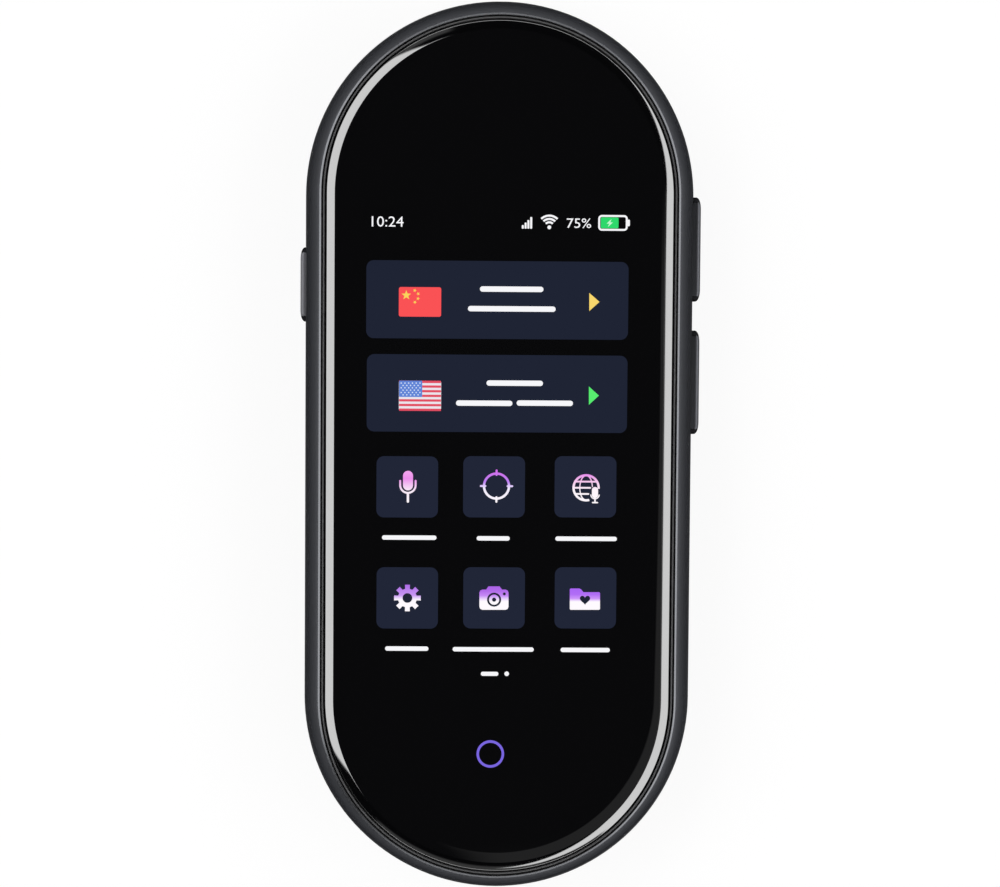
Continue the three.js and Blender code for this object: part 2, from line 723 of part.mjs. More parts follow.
// Glass, gasket, tape, display cell and backlight
function buildFront() {
  const facetLow = bodyDepth - glassFacetWidth * Math.tan(glassFacetTilt);
  const edge = [[glassInset, glassBottom]];
  for (let step = 0; step <= edgeSteps; step += 1) {
    const angle = (step / edgeSteps) * (Math.PI / 2 - glassFacetTilt);
    const share = (1 - Math.cos(angle)) / (1 - Math.sin(glassFacetTilt));
    const rise = Math.sin(angle) / Math.cos(glassFacetTilt);
    edge.push([glassInset + glassRoundWidth * share, facetLow - glassRoundDepth * (1 - rise)]);
  }
  edge.push([glassInset + glassRoundWidth + glassFacetWidth, bodyDepth]);
  const glass = solid(loft(slate, edge));
  addPiece('front_glass', glass, materials.glass);

  const gasketTop = lipHeight - gasketTopDrop;
  const gasket = slatePrism(gasketInset, shelfHeight, gasketTop)
    .subtract(slatePrism(gasketInset + gasketWidth, shelfHeight - overrun, gasketTop + overrun));
  addPiece('glass_gasket', gasket, materials.rubber);

  const tape = slatePrism(displayTapeInset, shelfHeight, glassBottom)
    .subtract(slatePrism(recessInset, shelfHeight - overrun, glassBottom + overrun));
  addPiece('display_tape', tape, materials.tape);

  const trimmed = slatePrism(recessInset + displayClearance, midplateTop, glassBottom);
  const cell = roundedPlate(
    displayPlace, displayWidth, displayLength, displayCornerRadius, cellBottom, glassBottom);
  addPiece('display_cell', cell.intersect(trimmed), materials.display);

  const panelWidth = displayWidth - 2 * backlightMargin;
  const panelLength = displayLength - backlightMargin - cellLedge;
  const panelPlace = [0, displayBottom + backlightMargin + panelLength / 2];
  const panel = roundedPlate(
    panelPlace, panelWidth, panelLength, displayCornerRadius, midplateTop, cellBottom);
  addPiece('backlight_unit', panel.intersect(trimmed), materials.backlight);
}

// Flex from the display's top edge, down through the midplate to the main board
function buildDisplayFlex() {
  const across = about(0, displayFlexWidth);
  const face = displayTop - displayFlexEdge;
  const back = face - displayFlexThickness;
  const connectorTop = mainBoardHeight + displayConnectorHeight;
  const connectorPlace = back - displayConnectorReach - displayConnectorLength / 2;
  const bonded = block(across, [displayTop - cellLedge + displayClearance, face],
    [cellBottom - displayFlexThickness, cellBottom]);
  const upright = block(across, [back, face], [connectorTop, cellBottom]);
  const landing = block(across, [connectorPlace - displayConnectorLength / 2 - flexEndMargin, face],
    [connectorTop, connectorTop + displayFlexThickness]);
  addPiece('display_flex', bonded.add(upright).add(landing), materials.flex);
  const connector = roundedPlate([0, connectorPlace], displayConnectorWidth, displayConnectorLength,
    displayFlexSlotGap, mainBoardHeight, connectorTop);
  addPiece('display_connector', connector, materials.connector);
}

function buildHomeKey() {
  const top = midplateTop + homeBoardThickness;
  const board = roundedPlate(
    homePlace, homeBoardWidth, homeBoardLength, homeBoardCornerRadius, midplateTop, top);
  addPiece('home_key_board', board, materials.board);
  const inner = homeRingRadius - homeRingStroke;
  const guide = bar(homePlace, homeRingRadius, top, glassBottom, roundSides)
    .subtract(bar(homePlace, inner, top - overrun, glassBottom + overrun, roundSides));
  addPiece('home_light_guide', guide, materials.diffuser);
}

// One side key: its cap with flange and nub, its plunger and its switch
function buildSideKey({ name, side, middle, length, proud }) {
  const outer = halfWidth + proud;
  const layers = [[0, flangeInner]];
  for (let step = 0; step <= bevelSteps; step += 1) {
    const angle = (step / bevelSteps) * Math.PI / 2;
    const inset = keyRounding * (1 - Math.cos(angle));
    layers.push([inset, outer - keyRounding * (1 - Math.sin(angle))]);
  }
  const cap = loft(roundedRectangle(keyHeight, length, keyCornerRadius), layers);
  const flangeLength = length + 2 * keyFlangeLip;
  const flangeOutline = roundedRectangle(flangeHeight, flangeLength, keyCornerRadius + keyFlangeLip);
  const flange = loft(flangeOutline, [[0, flangeInner], [0, flangeOuter]]);
  const nub = new THREE.CylinderGeometry(nubRadius, nubRadius, nubLength + edgeBreak, smallSides);
  nub.rotateX(Math.PI / 2).translate(0, 0, nubEnd + (nubLength + edgeBreak) / 2);
  const place = [side, middle, keyMiddle];
  const key = outOfFlank(cap, ...place).add(outOfFlank(flange, ...place)).add(outOfFlank(nub, ...place));
  addPiece(`${name}_key`, key, materials.key);

  const plungerLength = nubEnd - plungerEnd;
  const plunger = new THREE.CylinderGeometry(plungerRadius, plungerRadius, plungerLength, smallSides);
  plunger.rotateX(Math.PI / 2).translate(0, 0, (nubEnd + plungerEnd) / 2);
  addPiece(`${name}_plunger`, outOfFlank(plunger, ...place), materials.plastic);

  const boreRadius = plungerRadius + plungerClearance;
  const boreLength = switchFace + overrun - plungerBoreEnd;
  const bore = new THREE.CylinderGeometry(boreRadius, boreRadius, boreLength, smallSides);
  bore.rotateX(Math.PI / 2).translate(0, 0, plungerBoreEnd + boreLength / 2);
  const housing = block(flankRange(side, switchBack, switchFace),
    about(middle, switchLength), about(keyMiddle, switchHeight));
  addPiece(`${name}_switch`, housing.subtract(outOfFlank(bore, ...place)), materials.steel);
}

// A range across the body, from one distance out of the middle to another, on one side.
function flankRange(side, inner, outer) {
  return side > 0 ? [inner, outer] : [-outer, -inner];
}

// The flex and the bracket behind the switches of one flank
function buildKeySupport(name, side, low, high) {
  const bracketRun = [low - switchLength / 2 - bracketMargin, high + switchLength / 2 + bracketMargin];
  const footOuter = bracketBack + bracketFootWidth;
  const plate = block(flankRange(side, bracketBack, flexBack), bracketRun,
    [midplateBottom - bracketDepth, midplateBottom]);
  const foot = block(flankRange(side, bracketBack, footOuter), bracketRun,
    [midplateBottom - bracketFootThickness, midplateBottom]);
  addPiece(`${name}_key_bracket`, plate.add(foot), materials.steel);

  const tailStart = bracketRun[1] + displayClearance;
  const tailEnd = tailStart + keyFlexTailLength;
  const ribbonRun = [low - switchLength / 2 - keyFlexMargin, tailEnd];
  const ribbon = block(flankRange(side, flexBack, switchBack), ribbonRun,
    about(keyMiddle, keyFlexHeight));
  const tail = block(flankRange(side, mainBoardHalf - keyFlexTailReach, switchBack), [tailStart, tailEnd],
    [mainBoardBack - keyFlexThickness, mainBoardBack]);
  addPiece(`${name}_key_flex`, ribbon.add(tail), materials.flex);
}

function buildSideKeys() {
  for (const key of sideKeys) {
    buildSideKey(key);
  }
  buildKeySupport('talk', 1, lowerTalkMiddle, upperTalkMiddle);
  buildKeySupport('power', -1, powerMiddle, powerMiddle);
}

// Main board and what it carries
function buildMainBoard() {
  const cut = about(0, cameraCut);
  let board = slatePrism(boardInset, mainBoardBack, mainBoardHeight)
    .intersect(block([-mainBoardHalf, mainBoardHalf], [mainBoardBottom, halfLength],
      [mainBoardBack - overrun, mainBoardHeight + overrun]))
    .subtract(block(cut, about(cameraPlace[1], cameraCut),
      [mainBoardBack - overrun, mainBoardHeight + overrun]));
  for (const screw of boardScrews) {
    board = board.subtract(screwHole(screw));
  }
  addPiece('main_board', board, materials.board);

  const shieldLow = mainBoardBack - shieldHeight;
  const shieldHalf = mainBoardHalf - keyFlexTailReach - shieldSideGap;
  const processorWidth = (2 * shieldHalf - shieldSpacing) * processorWidthShare;
  const radioWidth = 2 * shieldHalf - shieldSpacing - processorWidth;
  const shieldMiddle = shieldTop - processorLength / 2;
  addPiece('processor_shield', roundedPlate([shieldHalf - processorWidth / 2, shieldMiddle],
    processorWidth, processorLength, shieldCornerRadius, shieldLow, mainBoardBack), materials.shield);
  addPiece('radio_shield', roundedPlate([radioWidth / 2 - shieldHalf, shieldMiddle],
    radioWidth, radioLength, shieldCornerRadius, shieldLow, mainBoardBack), materials.shield);

  const connectorPlace = mainBoardBottom + connectorEdge + connectorLength / 2;
  addPiece('battery_connector', block(about(batteryConnectorSide, batteryConnectorWidth),
    about(connectorPlace, connectorLength), [mainBoardBack - connectorHeight, mainBoardBack]),
  materials.connector);
  addPiece('main_board_connector', block(about(-boardFlexSide, boardFlexWidth),
    about(connectorPlace, connectorLength), [mainBoardBack - connectorHeight, mainBoardBack]),
  materials.connector);
}

// Rear camera with its light seal, trim and window, and the flash beside it
function buildCamera() {
  const body = roundedPlate(cameraPlace, cameraSize, cameraSize, shieldCornerRadius,
    cameraFront, midplateBottom);
  const barrelFront = cameraFront - cameraBarrelLength;
  const lensTop = barrelFront + cameraLensSunk + cameraLensThickness;
  const barrel = bar(cameraPlace, cameraBarrelRadius, barrelFront, cameraFront + edgeBreak, roundSides);
  const bore = bar(
    cameraPlace, cameraLensRadius + cameraLensGap, barrelFront - overrun, lensTop, roundSides);
  addPiece('camera_module', body.add(barrel).subtract(bore), materials.plastic);
  addPiece('camera_lens', bar(cameraPlace, cameraLensRadius, barrelFront + cameraLensSunk, lensTop,
    roundSides), materials.lens);

  const sealInner = cameraBarrelRadius + lightSealGap;
  const seal = bar(cameraPlace, sealInner + lightSealWidth, trimTop, cameraFront, roundSides)
    .subtract(bar(cameraPlace, sealInner, trimTop - overrun, cameraFront + overrun, roundSides));
  addPiece('camera_light_seal', seal, materials.foam);

  const windowSeat = trimSunk + windowSunk + windowThickness;
  const pocketRadius = trimRadius - trimRimWidth;
  const trim = bar(cameraPlace, trimRadius, trimSunk, coverWall + edgeBreak, roundSides)
    .add(bar(cameraPlace, trimRadius + trimFlangeWidth, coverWall, trimTop, roundSides))
    .subtract(bar(cameraPlace, pocketRadius, trimSunk - overrun, windowSeat, roundSides))
    .subtract(bar(cameraPlace, pocketRadius - trimLedgeWidth, 0, trimTop + overrun, roundSides));
  addPiece('camera_trim', trim, materials.steel);
  addPiece('camera_window', bar(cameraPlace, pocketRadius - windowGap, trimSunk + windowSunk,
    windowSeat, roundSides), materials.lens);

  const lampFront = mainBoardBack - flashLampHeight;
  const flangeRadius = flashPipeRadius + flashFlangeWidth;
  const flangeTop = coverWall + flashFlangeThickness;
  const pipe = turned(flashPlace, [
    [0, trimSunk],
    [flashPipeRadius, trimSunk],
    [flashPipeRadius, coverWall],
    [flangeRadius, coverWall],
    [flangeRadius, flangeTop],
    [flashPipeRadius, flangeTop],
    [flashPipeRadius, lampFront - flashLampGap],
    [0, lampFront - flashLampGap],
  ], smallSides);
  addPiece('flash_light_pipe', pipe, materials.diffuser);
  addPiece('flash_lamp', block(about(flashPlace[0], flashLampSize), about(flashPlace[1], flashLampSize),
    [lampFront, mainBoardBack]), materials.connector);
}

function buildBattery() {
  const batteryHalf = bracketBack - batterySideGap;
  const low = coverWall + boardFlexFloorGap + boardFlexThickness + boardFlexBatteryGap;
  const high = midplateBottom - batteryPadThickness;
  const place = [0, (batteryBottom + batteryTop) / 2];
  const length = batteryTop - batteryBottom;
  const middle = (low + high) / 2;
  const outline = roundedRectangle(2 * batteryHalf, length, batteryCornerRadius);
  const layers = [
    [batteryEdge, low],
    [0, low + batteryEdge],
    [0, high - batteryEdge],
    [batteryEdge, high],
  ];
  const cell = loft(outline, layers).translate(...place, 0);
  addPiece('battery_cell', solid(cell), materials.battery);
  addPiece('battery_pad', roundedPlate(place, 2 * (batteryHalf - batteryPadMargin),
    length - 2 * batteryPadMargin, batteryCornerRadius, high, midplateBottom), materials.tape);

  const contact = mainBoardBack - connectorHeight;
  const flexEnd = mainBoardBottom + connectorEdge + connectorLength + flexEndMargin;
  addPiece('battery_flex', block(about(batteryConnectorSide, batteryFlexWidth), [batteryTop, flexEnd],
    [contact - batteryFlexThickness, contact]), materials.flex);
}

// Lower board with the socket, the connector and the lower microphone
function buildLowerBoard() {
  let board = slatePrism(boardInset, lowerBoardBack, lowerBoardHeight)
    .intersect(block([-halfWidth, halfWidth], [-halfLength, lowerBoardTop],
      [lowerBoardBack - overrun, lowerBoardHeight + overrun]));
  for (const screw of lowerScrews) {
    board = board.subtract(screwHole(screw));
  }
  addPiece('lower_board', board, materials.board);

  const inner = roundedRectangle(usbWidth - 2 * usbWall, usbHeight - 2 * usbWall, usbHeight / 2 - usbWall);
  const hollow = loft(inner, [[0, usbMouth - overrun], [0, usbMouth + usbMouthDepth]]);
  const outer = loft(roundedRectangle(usbWidth, usbHeight, usbHeight / 2),
    [[0, usbMouth], [0, usbMouth + usbLength]]);
  const socket = solid(outer.rotateX(-Math.PI / 2).translate(0, 0, usbHeightMiddle))
    .subtract(solid(hollow.rotateX(-Math.PI / 2).translate(0, 0, usbHeightMiddle)));
  addPiece('usb_socket', socket, materials.steel);
  addPiece('usb_socket_tongue', block(about(0, usbTongueWidth),
    [usbMouth + usbTongueSunk, usbMouth + usbMouthDepth], about(usbHeightMiddle, usbTongueThickness)),
  materials.plastic);
}

function buildBoardFlex() {
  const mainPlace = mainBoardBottom + connectorEdge + connectorLength / 2;
  const lowerPlace = lowerBoardTop - connectorEdge - connectorLength / 2;
  const lowerContact = lowerBoardBack - lowerConnectorHeight;
  const mainContact = mainBoardBack - connectorHeight;
  const floor = coverWall + boardFlexFloorGap;
  const reach = connectorLength / 2 + flexEndMargin;
  addPiece('lower_board_connector', block(about(-boardFlexSide, boardFlexWidth),
    about(lowerPlace, connectorLength), [lowerContact, lowerBoardBack]), materials.connector);
  const flex = strip(-boardFlexSide, boardFlexWidth - 2 * edgeBreak, boardFlexThickness, [
    [lowerPlace - reach, lowerContact - boardFlexThickness],
    [lowerPlace + reach, lowerContact - boardFlexThickness],
    [lowerPlace + reach + boardFlexRise, floor],
    [batteryTop, floor],
    [mainPlace - reach, mainContact - boardFlexThickness],
    [mainPlace + reach, mainContact - boardFlexThickness],
  ]);
  addPiece('board_flex', flex, materials.flex);
}

function buildSpeaker() {
  const place = [0, speakerCentre];
  const mouth = roundedPlate(place, speakerMouthWidth, speakerMouthLength, speakerCornerRadius,
    speakerFront - overrun, speakerFront + speakerMouthDepth);
  const ears = roundedPlate(place, speakerWidth + 2 * speakerEarWidth, speakerEarLength,
    speakerCornerRadius, speakerEarBottom, speakerEarTop);
  let speaker = roundedPlate(place, speakerWidth, speakerLength, speakerCornerRadius,
    speakerFront, midplateBottom).add(ears).subtract(mouth);
  for (const screw of speakerScrews) {
    speaker = speaker.subtract(screwHole(screw));
  }
  addPiece('speaker_module', speaker, materials.plastic);

  const meshTop = coverWall + speakerMeshThickness;
  const gasketSpan = [speakerMouthWidth, speakerMouthLength].map((side) => side + 2 * speakerGasketWidth);
  addPiece('speaker_mesh', roundedPlate(place, ...gasketSpan, speakerCornerRadius, coverWall, meshTop),
    materials.steel);
  const gasket = roundedPlate(place, ...gasketSpan, speakerCornerRadius, meshTop, speakerFront)
    .subtract(roundedPlate(place, speakerMouthWidth, speakerMouthLength, speakerCornerRadius,
      meshTop - overrun, speakerFront + overrun));
  addPiece('speaker_gasket', gasket, materials.foam);
}

// A microphone at a board's edge, and the rubber boot that leads to its port
function buildMicrophone(name, x, direction, edge, wall, face) {
  const mouth = edge - direction * microphoneEdge;
  const behind = mouth - direction * microphoneLength;
  const bootEnd = wall - direction * bootWallGap;
  const span = (a, b) => [Math.min(a, b), Math.max(a, b)];
  const across = about(x, microphoneWidth);
  addPiece(`${name}_microphone`, block(across, span(behind, mouth), [face, face + microphoneHeight]),
    materials.shield);
  const tunnel = span(mouth - direction * overrun, bootEnd + direction * overrun);
  const boot = block(across, span(mouth, bootEnd), [face, face + bootHeight])
    .subtract(portBar(x, face + bootHeight / 2, bootHoleRadius, ...tunnel));
  addPiece(`${name}_microphone_boot`, boot, materials.rubber);
}

function buildMicrophones() {
  const innerRadius = halfWidth - frameWall;
  const boardRadius = halfWidth - boardInset;
  const reachAt = (radius, side) => halfFlank + Math.sqrt(radius * radius - side * side);
  const upperWall = reachAt(innerRadius, microphoneWidth / 2);
  buildMicrophone('upper', 0, 1, mainBoardTop, upperWall, mainBoardHeight);
  const farSide = lowerMicrophoneSide + microphoneWidth / 2;
  const lowerEdge = -reachAt(boardRadius, farSide);
  const lowerWall = -reachAt(innerRadius, farSide);
  buildMicrophone('lower', lowerMicrophoneSide, -1, lowerEdge, lowerWall, lowerBoardHeight);
}

function buildAntenna() {
  const low = lowerBoardBottom + antennaRise;
  const high = coverWall + antennaThickness;
  const patch = block(about(0, antennaWidth), [low, low + antennaLength], [coverWall, high])
    .intersect(slatePrism(cavityInset + coverFillet + displayClearance, 0, high + overrun));
  addPiece('antenna_patch', patch, materials.flex);
}

function buildScrews() {
  const profile = (length) => [
    [0, -screwHeadHeight],
    [screwHeadRadius, -screwHeadHeight],
    [screwHeadRadius, 0],
    [screwShankRadius, 0],
    [screwShankRadius, length],
    [0, length],
  ];
  const recess = [-screwHeadHeight - overrun, screwRecessDepth - screwHeadHeight];
  const cross = block(about(0, screwRecessLength), about(0, screwRecessWidth), recess)
    .add(block(about(0, screwRecessWidth), about(0, screwRecessLength), recess));
  for (const { name, place, face, held } of screws) {
    const screw = turned([0, 0], profile(held + screwBite), smallSides).subtract(cross);
    addPiece(name, screw, materials.steel);
    translator.getObjectByName(name).position.set(...place, face);
  }
}

buildFrame();
buildCover();
buildFront();
buildDisplayFlex();
buildHomeKey();
buildSideKeys();
buildMainBoard();
buildCamera();
buildBattery();
buildLowerBoard();
buildBoardFlex();
buildSpeaker();
buildMicrophones();
buildAntenna();
buildScrews();

export default translator;
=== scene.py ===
import json
import math

import bpy
from mathutils import Matrix, Vector


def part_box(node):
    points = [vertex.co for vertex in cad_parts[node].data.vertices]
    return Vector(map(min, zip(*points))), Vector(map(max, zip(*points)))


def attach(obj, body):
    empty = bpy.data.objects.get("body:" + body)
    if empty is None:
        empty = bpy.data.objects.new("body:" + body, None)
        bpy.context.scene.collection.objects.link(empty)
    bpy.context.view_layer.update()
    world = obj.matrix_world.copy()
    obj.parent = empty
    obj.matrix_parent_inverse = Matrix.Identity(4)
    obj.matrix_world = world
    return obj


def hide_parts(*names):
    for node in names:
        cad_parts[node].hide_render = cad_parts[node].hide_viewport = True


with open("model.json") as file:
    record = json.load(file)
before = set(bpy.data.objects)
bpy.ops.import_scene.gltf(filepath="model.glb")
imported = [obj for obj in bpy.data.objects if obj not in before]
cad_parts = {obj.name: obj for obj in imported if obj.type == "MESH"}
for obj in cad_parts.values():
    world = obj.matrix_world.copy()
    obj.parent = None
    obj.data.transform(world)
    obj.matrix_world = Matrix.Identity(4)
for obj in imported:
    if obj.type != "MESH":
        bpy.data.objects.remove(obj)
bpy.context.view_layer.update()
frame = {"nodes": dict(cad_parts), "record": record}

nodes = frame["nodes"]
scene = bpy.context.scene
MM = 0.001

# Sizes of the body in millimetres. They are those of the CAD model, apart from the lip and the
# glass, which differ by a few hundredths. The origin is the middle of the flat back, +X is
# right, +Y the top end and +Z comes out of the screen. An inset is measured from the body's
# outline at its widest, and a height from the back.
HALF_WIDTH = 28.0
HALF_FLANK = 36.2  # half the length of the straight sides
WIDEST = 5.6  # height of the widest line
BACK_CURVE = 4.5  # inset of the flat back
LIP_INSET = 2.41
LIP_TOP = 11.38
LIP_ANGLE = math.radians(78)  # how far the flank has turned towards the front at the lip
COVER_TOP = 3.2
FRAME_BOTTOM = 3.35
SEAM = 0.12  # chamfer of cover and frame at the seam between them
WALL = 2.2  # thickness of the frame's side
PLATE_BOTTOM, PLATE_TOP = 8.2, 8.9  # the plate between the display and the boards
SHELF = 10.7  # what the glass is taped on
GLASS_BOTTOM = 10.9
GLASS_INSET = 3.26
GLASS_TOP = 11.94
MARK_TOP = 12.0
SOCKET_HEIGHT = 5.8
HOME = (-0.9, -43.79)
CAMERA = (0.0, 45.8)
FLASH = (9.5, 45.8)
SPEAKER_Y = -42.55
HOLE_PITCH = 2.4  # of the speaker's sound holes
MICROPHONE_HOLE = 0.5
BOARD = 0.8  # thickness of the boards and of the speaker's ears

# Screws: kind, how many, and the height of the face under their heads
SCREWS = [("board_screw", 3, 5.8), ("lower_board_screw", 2, 3.4), ("speaker_screw", 2, 5.0)]

# Side keys: name, flank, middle along Y, length, and how far the cap stands out
KEYS = [
    ("upper_talk", 1, 28.85, 14.9, 1.0),
    ("lower_talk", 1, 9.65, 14.9, 1.0),
    ("power", -1, 23.4, 10.6, 0.68),
]
KEY_MIDDLE = 6.1
KEY_HEIGHT = 3.0
KEY_CORNER = 1.1
KEY_PLAY = 0.15
FLANGE = 0.45  # the flange that keeps a key inside the frame
FLANGE_BACK, FLANGE_FACE = 25.0, 25.7

# Camera

PHOTO = (1000, 887)
SENSOR = 36
LENS = 80.37
FOCAL = LENS / SENSOR * PHOTO[0]  # the focal length in pixels
EYE = Vector((-4.54, 16.16, 330.0))
AIM = Vector((0.268, 0.543, 5.6))
ROLL = -0.0071

ahead = (AIM - EYE).normalized()
right = ahead.cross(Vector((math.sin(ROLL), math.cos(ROLL), 0))).normalized()
up = right.cross(ahead)


def at(x, y):
    """The point of the marks' level that the photograph shows at a pixel, in millimetres."""
    ray = ahead + right * ((x - PHOTO[0] / 2) / FOCAL) - up * ((y - PHOTO[1] / 2) / FOCAL)
    hit = EYE + ray * ((MARK_TOP - EYE.z) / ray.z)
    return hit.x, hit.y


def px(length):
    """A length in pixels of the photograph, in millimetres on the screen."""
    return length * (EYE.z - MARK_TOP) / FOCAL


def put(name, data):
    """Puts a mesh, a text or the camera into the scene."""
    made = bpy.data.objects.new(name, data)
    scene.collection.objects.link(made)
    return made


camera_data = bpy.data.cameras.new("camera")
camera_data.lens = LENS
camera_data.sensor_width = SENSOR
camera_data.clip_start = 0.01
camera_data.clip_end = 20
camera = put("camera", camera_data)
camera.matrix_world = Matrix.Translation(EYE * MM) @ Matrix(
    (right, up, -ahead)).transposed().to_4x4()
scene.camera = camera

# Meshes


def stadium(inset, steps=72):
    """The body's outline, drawn in by an inset."""
    radius = HALF_WIDTH - inset
    points = []
    for sign in (1, -1):
        for i in range(steps + 1):
            a = math.pi * i / steps + (0 if sign > 0 else math.pi)
            points.append((radius * math.cos(a), sign * HALF_FLANK + radius * math.sin(a)))
    return points


def rounded(width, length, radius, inset, steps, centre=(0.0, 0.0)):
    """A rectangle with round corners, drawn in by an inset."""
    w, l = width / 2 - inset, length / 2 - inset
    r = min(radius - inset, w, l)
    points = []
    for k, (sx, sy) in enumerate(((1, 1), (-1, 1), (-1, -1), (1, -1))):
        for i in range(steps + 1):
            a = math.pi / 2 * (k + i / steps)
            points.append((centre[0] + sx * (w - r) + r * math.cos(a),
                           centre[1] + sy * (l - r) + r * math.sin(a)))
    return points


def circle(radius, steps, centre=(0.0, 0.0)):
    return [(centre[0] + radius * math.cos(2 * math.pi * i / steps),
             centre[1] + radius * math.sin(2 * math.pi * i / steps)) for i in range(steps)]


class Form:
    """Gathers closed shells, in millimetres, into one mesh."""

    def __init__(self):
        self.verts = []
        self.faces = []

    def shell(self, rings, closed=False, turn=None):
        """Rings of points (x, y, z), each anticlockwise from above, stacked upwards."""
        start = len(self.verts)
        count = len(rings[0])
        for ring in rings:
            self.verts += [turn(p) if turn else p for p in ring]
        for k in range(len(rings) if closed else len(rings) - 1):
            low = start + k * count
            high = start + ((k + 1) % len(rings)) * count
            for i in range(count):
                j = (i + 1) % count
                self.faces.append((low + i, low + j, high + j, high + i))
        if not closed:
            last = start + (len(rings) - 1) * count
            self.faces.append(tuple(range(start + count - 1, start - 1, -1)))
            self.faces.append(tuple(range(last, last + count)))
        return self

    def loft(self, outline, layers, closed=False, turn=None):
        """Layers are (inset, height); outline(inset) gives the points."""
        return self.shell([[(x, y, z) for x, y in outline(inset)] for inset, z in layers],
                          closed, turn)

    def along_y(self, outline, stations, height, x=0.0):
        """A loft that runs along Y: stations are (inset, y), and outlines are of (x, z)."""
        return self.shell([[(x + u, y, height + v) for u, v in outline(inset)]
                           for inset, y in stations])

    def prism(self, points, low, high):
        return self.shell([[(x, y, low) for x, y in points], [(x, y, high) for x, y in points]])

    def frame(self, outer, inner, low, high):
        """A flat frame between two outlines with the same number of points."""
        return self.shell([[(x, y, z) for x, y in ring] for ring, z in (
            (outer, low), (outer, high), (inner, high), (inner, low))], closed=True)

    def turned(self, centre, profile, steps, turn=None, closed=False):
        """A profile of (radius, height) turned about an upright axis."""
        return self.shell([[(x, y, z) for x, y in circle(r, steps, centre)]
                           for r, z in profile], closed, turn)

    def line(self, start, end, width, low, high):
        """A straight stroke with round ends."""
        steps = 6
        (x0, y0), (x1, y1) = start, end
        angle = math.atan2(y1 - y0, x1 - x0)
        points = []
        for (x, y), base in (((x1, y1), angle - math.pi / 2), ((x0, y0), angle + math.pi / 2)):
            for i in range(steps + 1):
                a = base + math.pi * i / steps
                points.append((x + width / 2 * math.cos(a), y + width / 2 * math.sin(a)))
        return self.prism(points, low, high)

    def arc(self, centre, radius, width, start, end, low, high, steps, squash=1.0):
        """A curved stroke between two angles in degrees, squashed along X."""
        outer, inner = [], []
        for i in range(steps + 1):
            a = math.radians(start + (end - start) * i / steps)
            for side, reach in ((outer, radius + width / 2), (inner, radius - width / 2)):
                side.append((centre[0] + reach * math.cos(a) * squash,
                             centre[1] + reach * math.sin(a)))
        for k in range(steps):
            self.prism([outer[k], outer[k + 1], inner[k + 1], inner[k]], low, high)
        return self

    def object(self, name):
        mesh = bpy.data.meshes.new(name)
        mesh.from_pydata([(x * MM, y * MM, z * MM) for x, y, z in self.verts], [], self.faces)
        mesh.update()
        return put(name, mesh)


def evaluated_mesh(made):
    graph = bpy.context.evaluated_depsgraph_get()
    return bpy.data.meshes.new_from_object(made.evaluated_get(graph))


def cut(target, cutter, operation="DIFFERENCE"):
    """Applies a boolean with a solver that keeps closed solids closed."""
    change = target.modifiers.new("cut", "BOOLEAN")
    change.operation = operation
    change.solver = "MANIFOLD"
    change.object = cutter
    mesh = evaluated_mesh(target)
    target.modifiers.clear()
    target.data = mesh
    bpy.data.objects.remove(cutter)


def shade(made, surface=None, angle=32):
    """Smooth shading with sharp edges kept, and exact normals where a surface is known."""
    mesh = made.data
    mesh.polygons.foreach_set("use_smooth", [True] * len(mesh.polygons))
    mesh.set_sharp_from_angle(angle=math.radians(angle))
    if surface:
        same_way = 0.96  # a face that looks elsewhere than the surface keeps its own normals
        normals = [Vector(n.vector) for n in mesh.corner_normals]
        for face in mesh.polygons:
            wanted = surface(face.center / MM)
            if wanted is None or wanted.dot(face.normal) < same_way:
                continue
            for corner in face.loop_indices:
                exact = surface(mesh.vertices[mesh.loops[corner].vertex_index].co / MM)
                if exact is not None:
                    normals[corner] = exact
        mesh.normals_split_custom_set(normals)


def add(made, looks, body="housing", stands_for=()):
    """Gives a finished piece its looks, puts it in its body and hides the CAD nodes it stands for.
    """
    made.data.materials.clear()
    for look in looks if isinstance(looks, list) else [looks]:
        made.data.materials.append(look)
    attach(made, body)
    if stands_for:
        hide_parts(*stands_for)
    return made


def dress(form, name, looks, stands_for=(), angle=32):
    """A smooth piece of the housing, made, shaded and given its looks in one go."""
    made = form.object(name)
    shade(made, angle=angle)
    return add(made, looks, stands_for=stands_for)


# Materials


def linear(*rgb):
    """A colour of the screen, 0 to 255, as a shader's colour."""
    return tuple(((c / 255) / 12.92 if c <= 10 else ((c / 255 + 0.055) / 1.055) ** 2.4)
                 for c in rgb) + (1.0,)


def plain(name, **sockets):
    """A material whose shader has the given values, such as Base_Color."""
    look = bpy.data.materials.new(name)
    look.use_nodes = True
    shader = look.node_tree.nodes["Principled BSDF"]
    for key, value in sockets.items():
        shader.inputs[key.replace("_", " ")].default_value = value
    return look


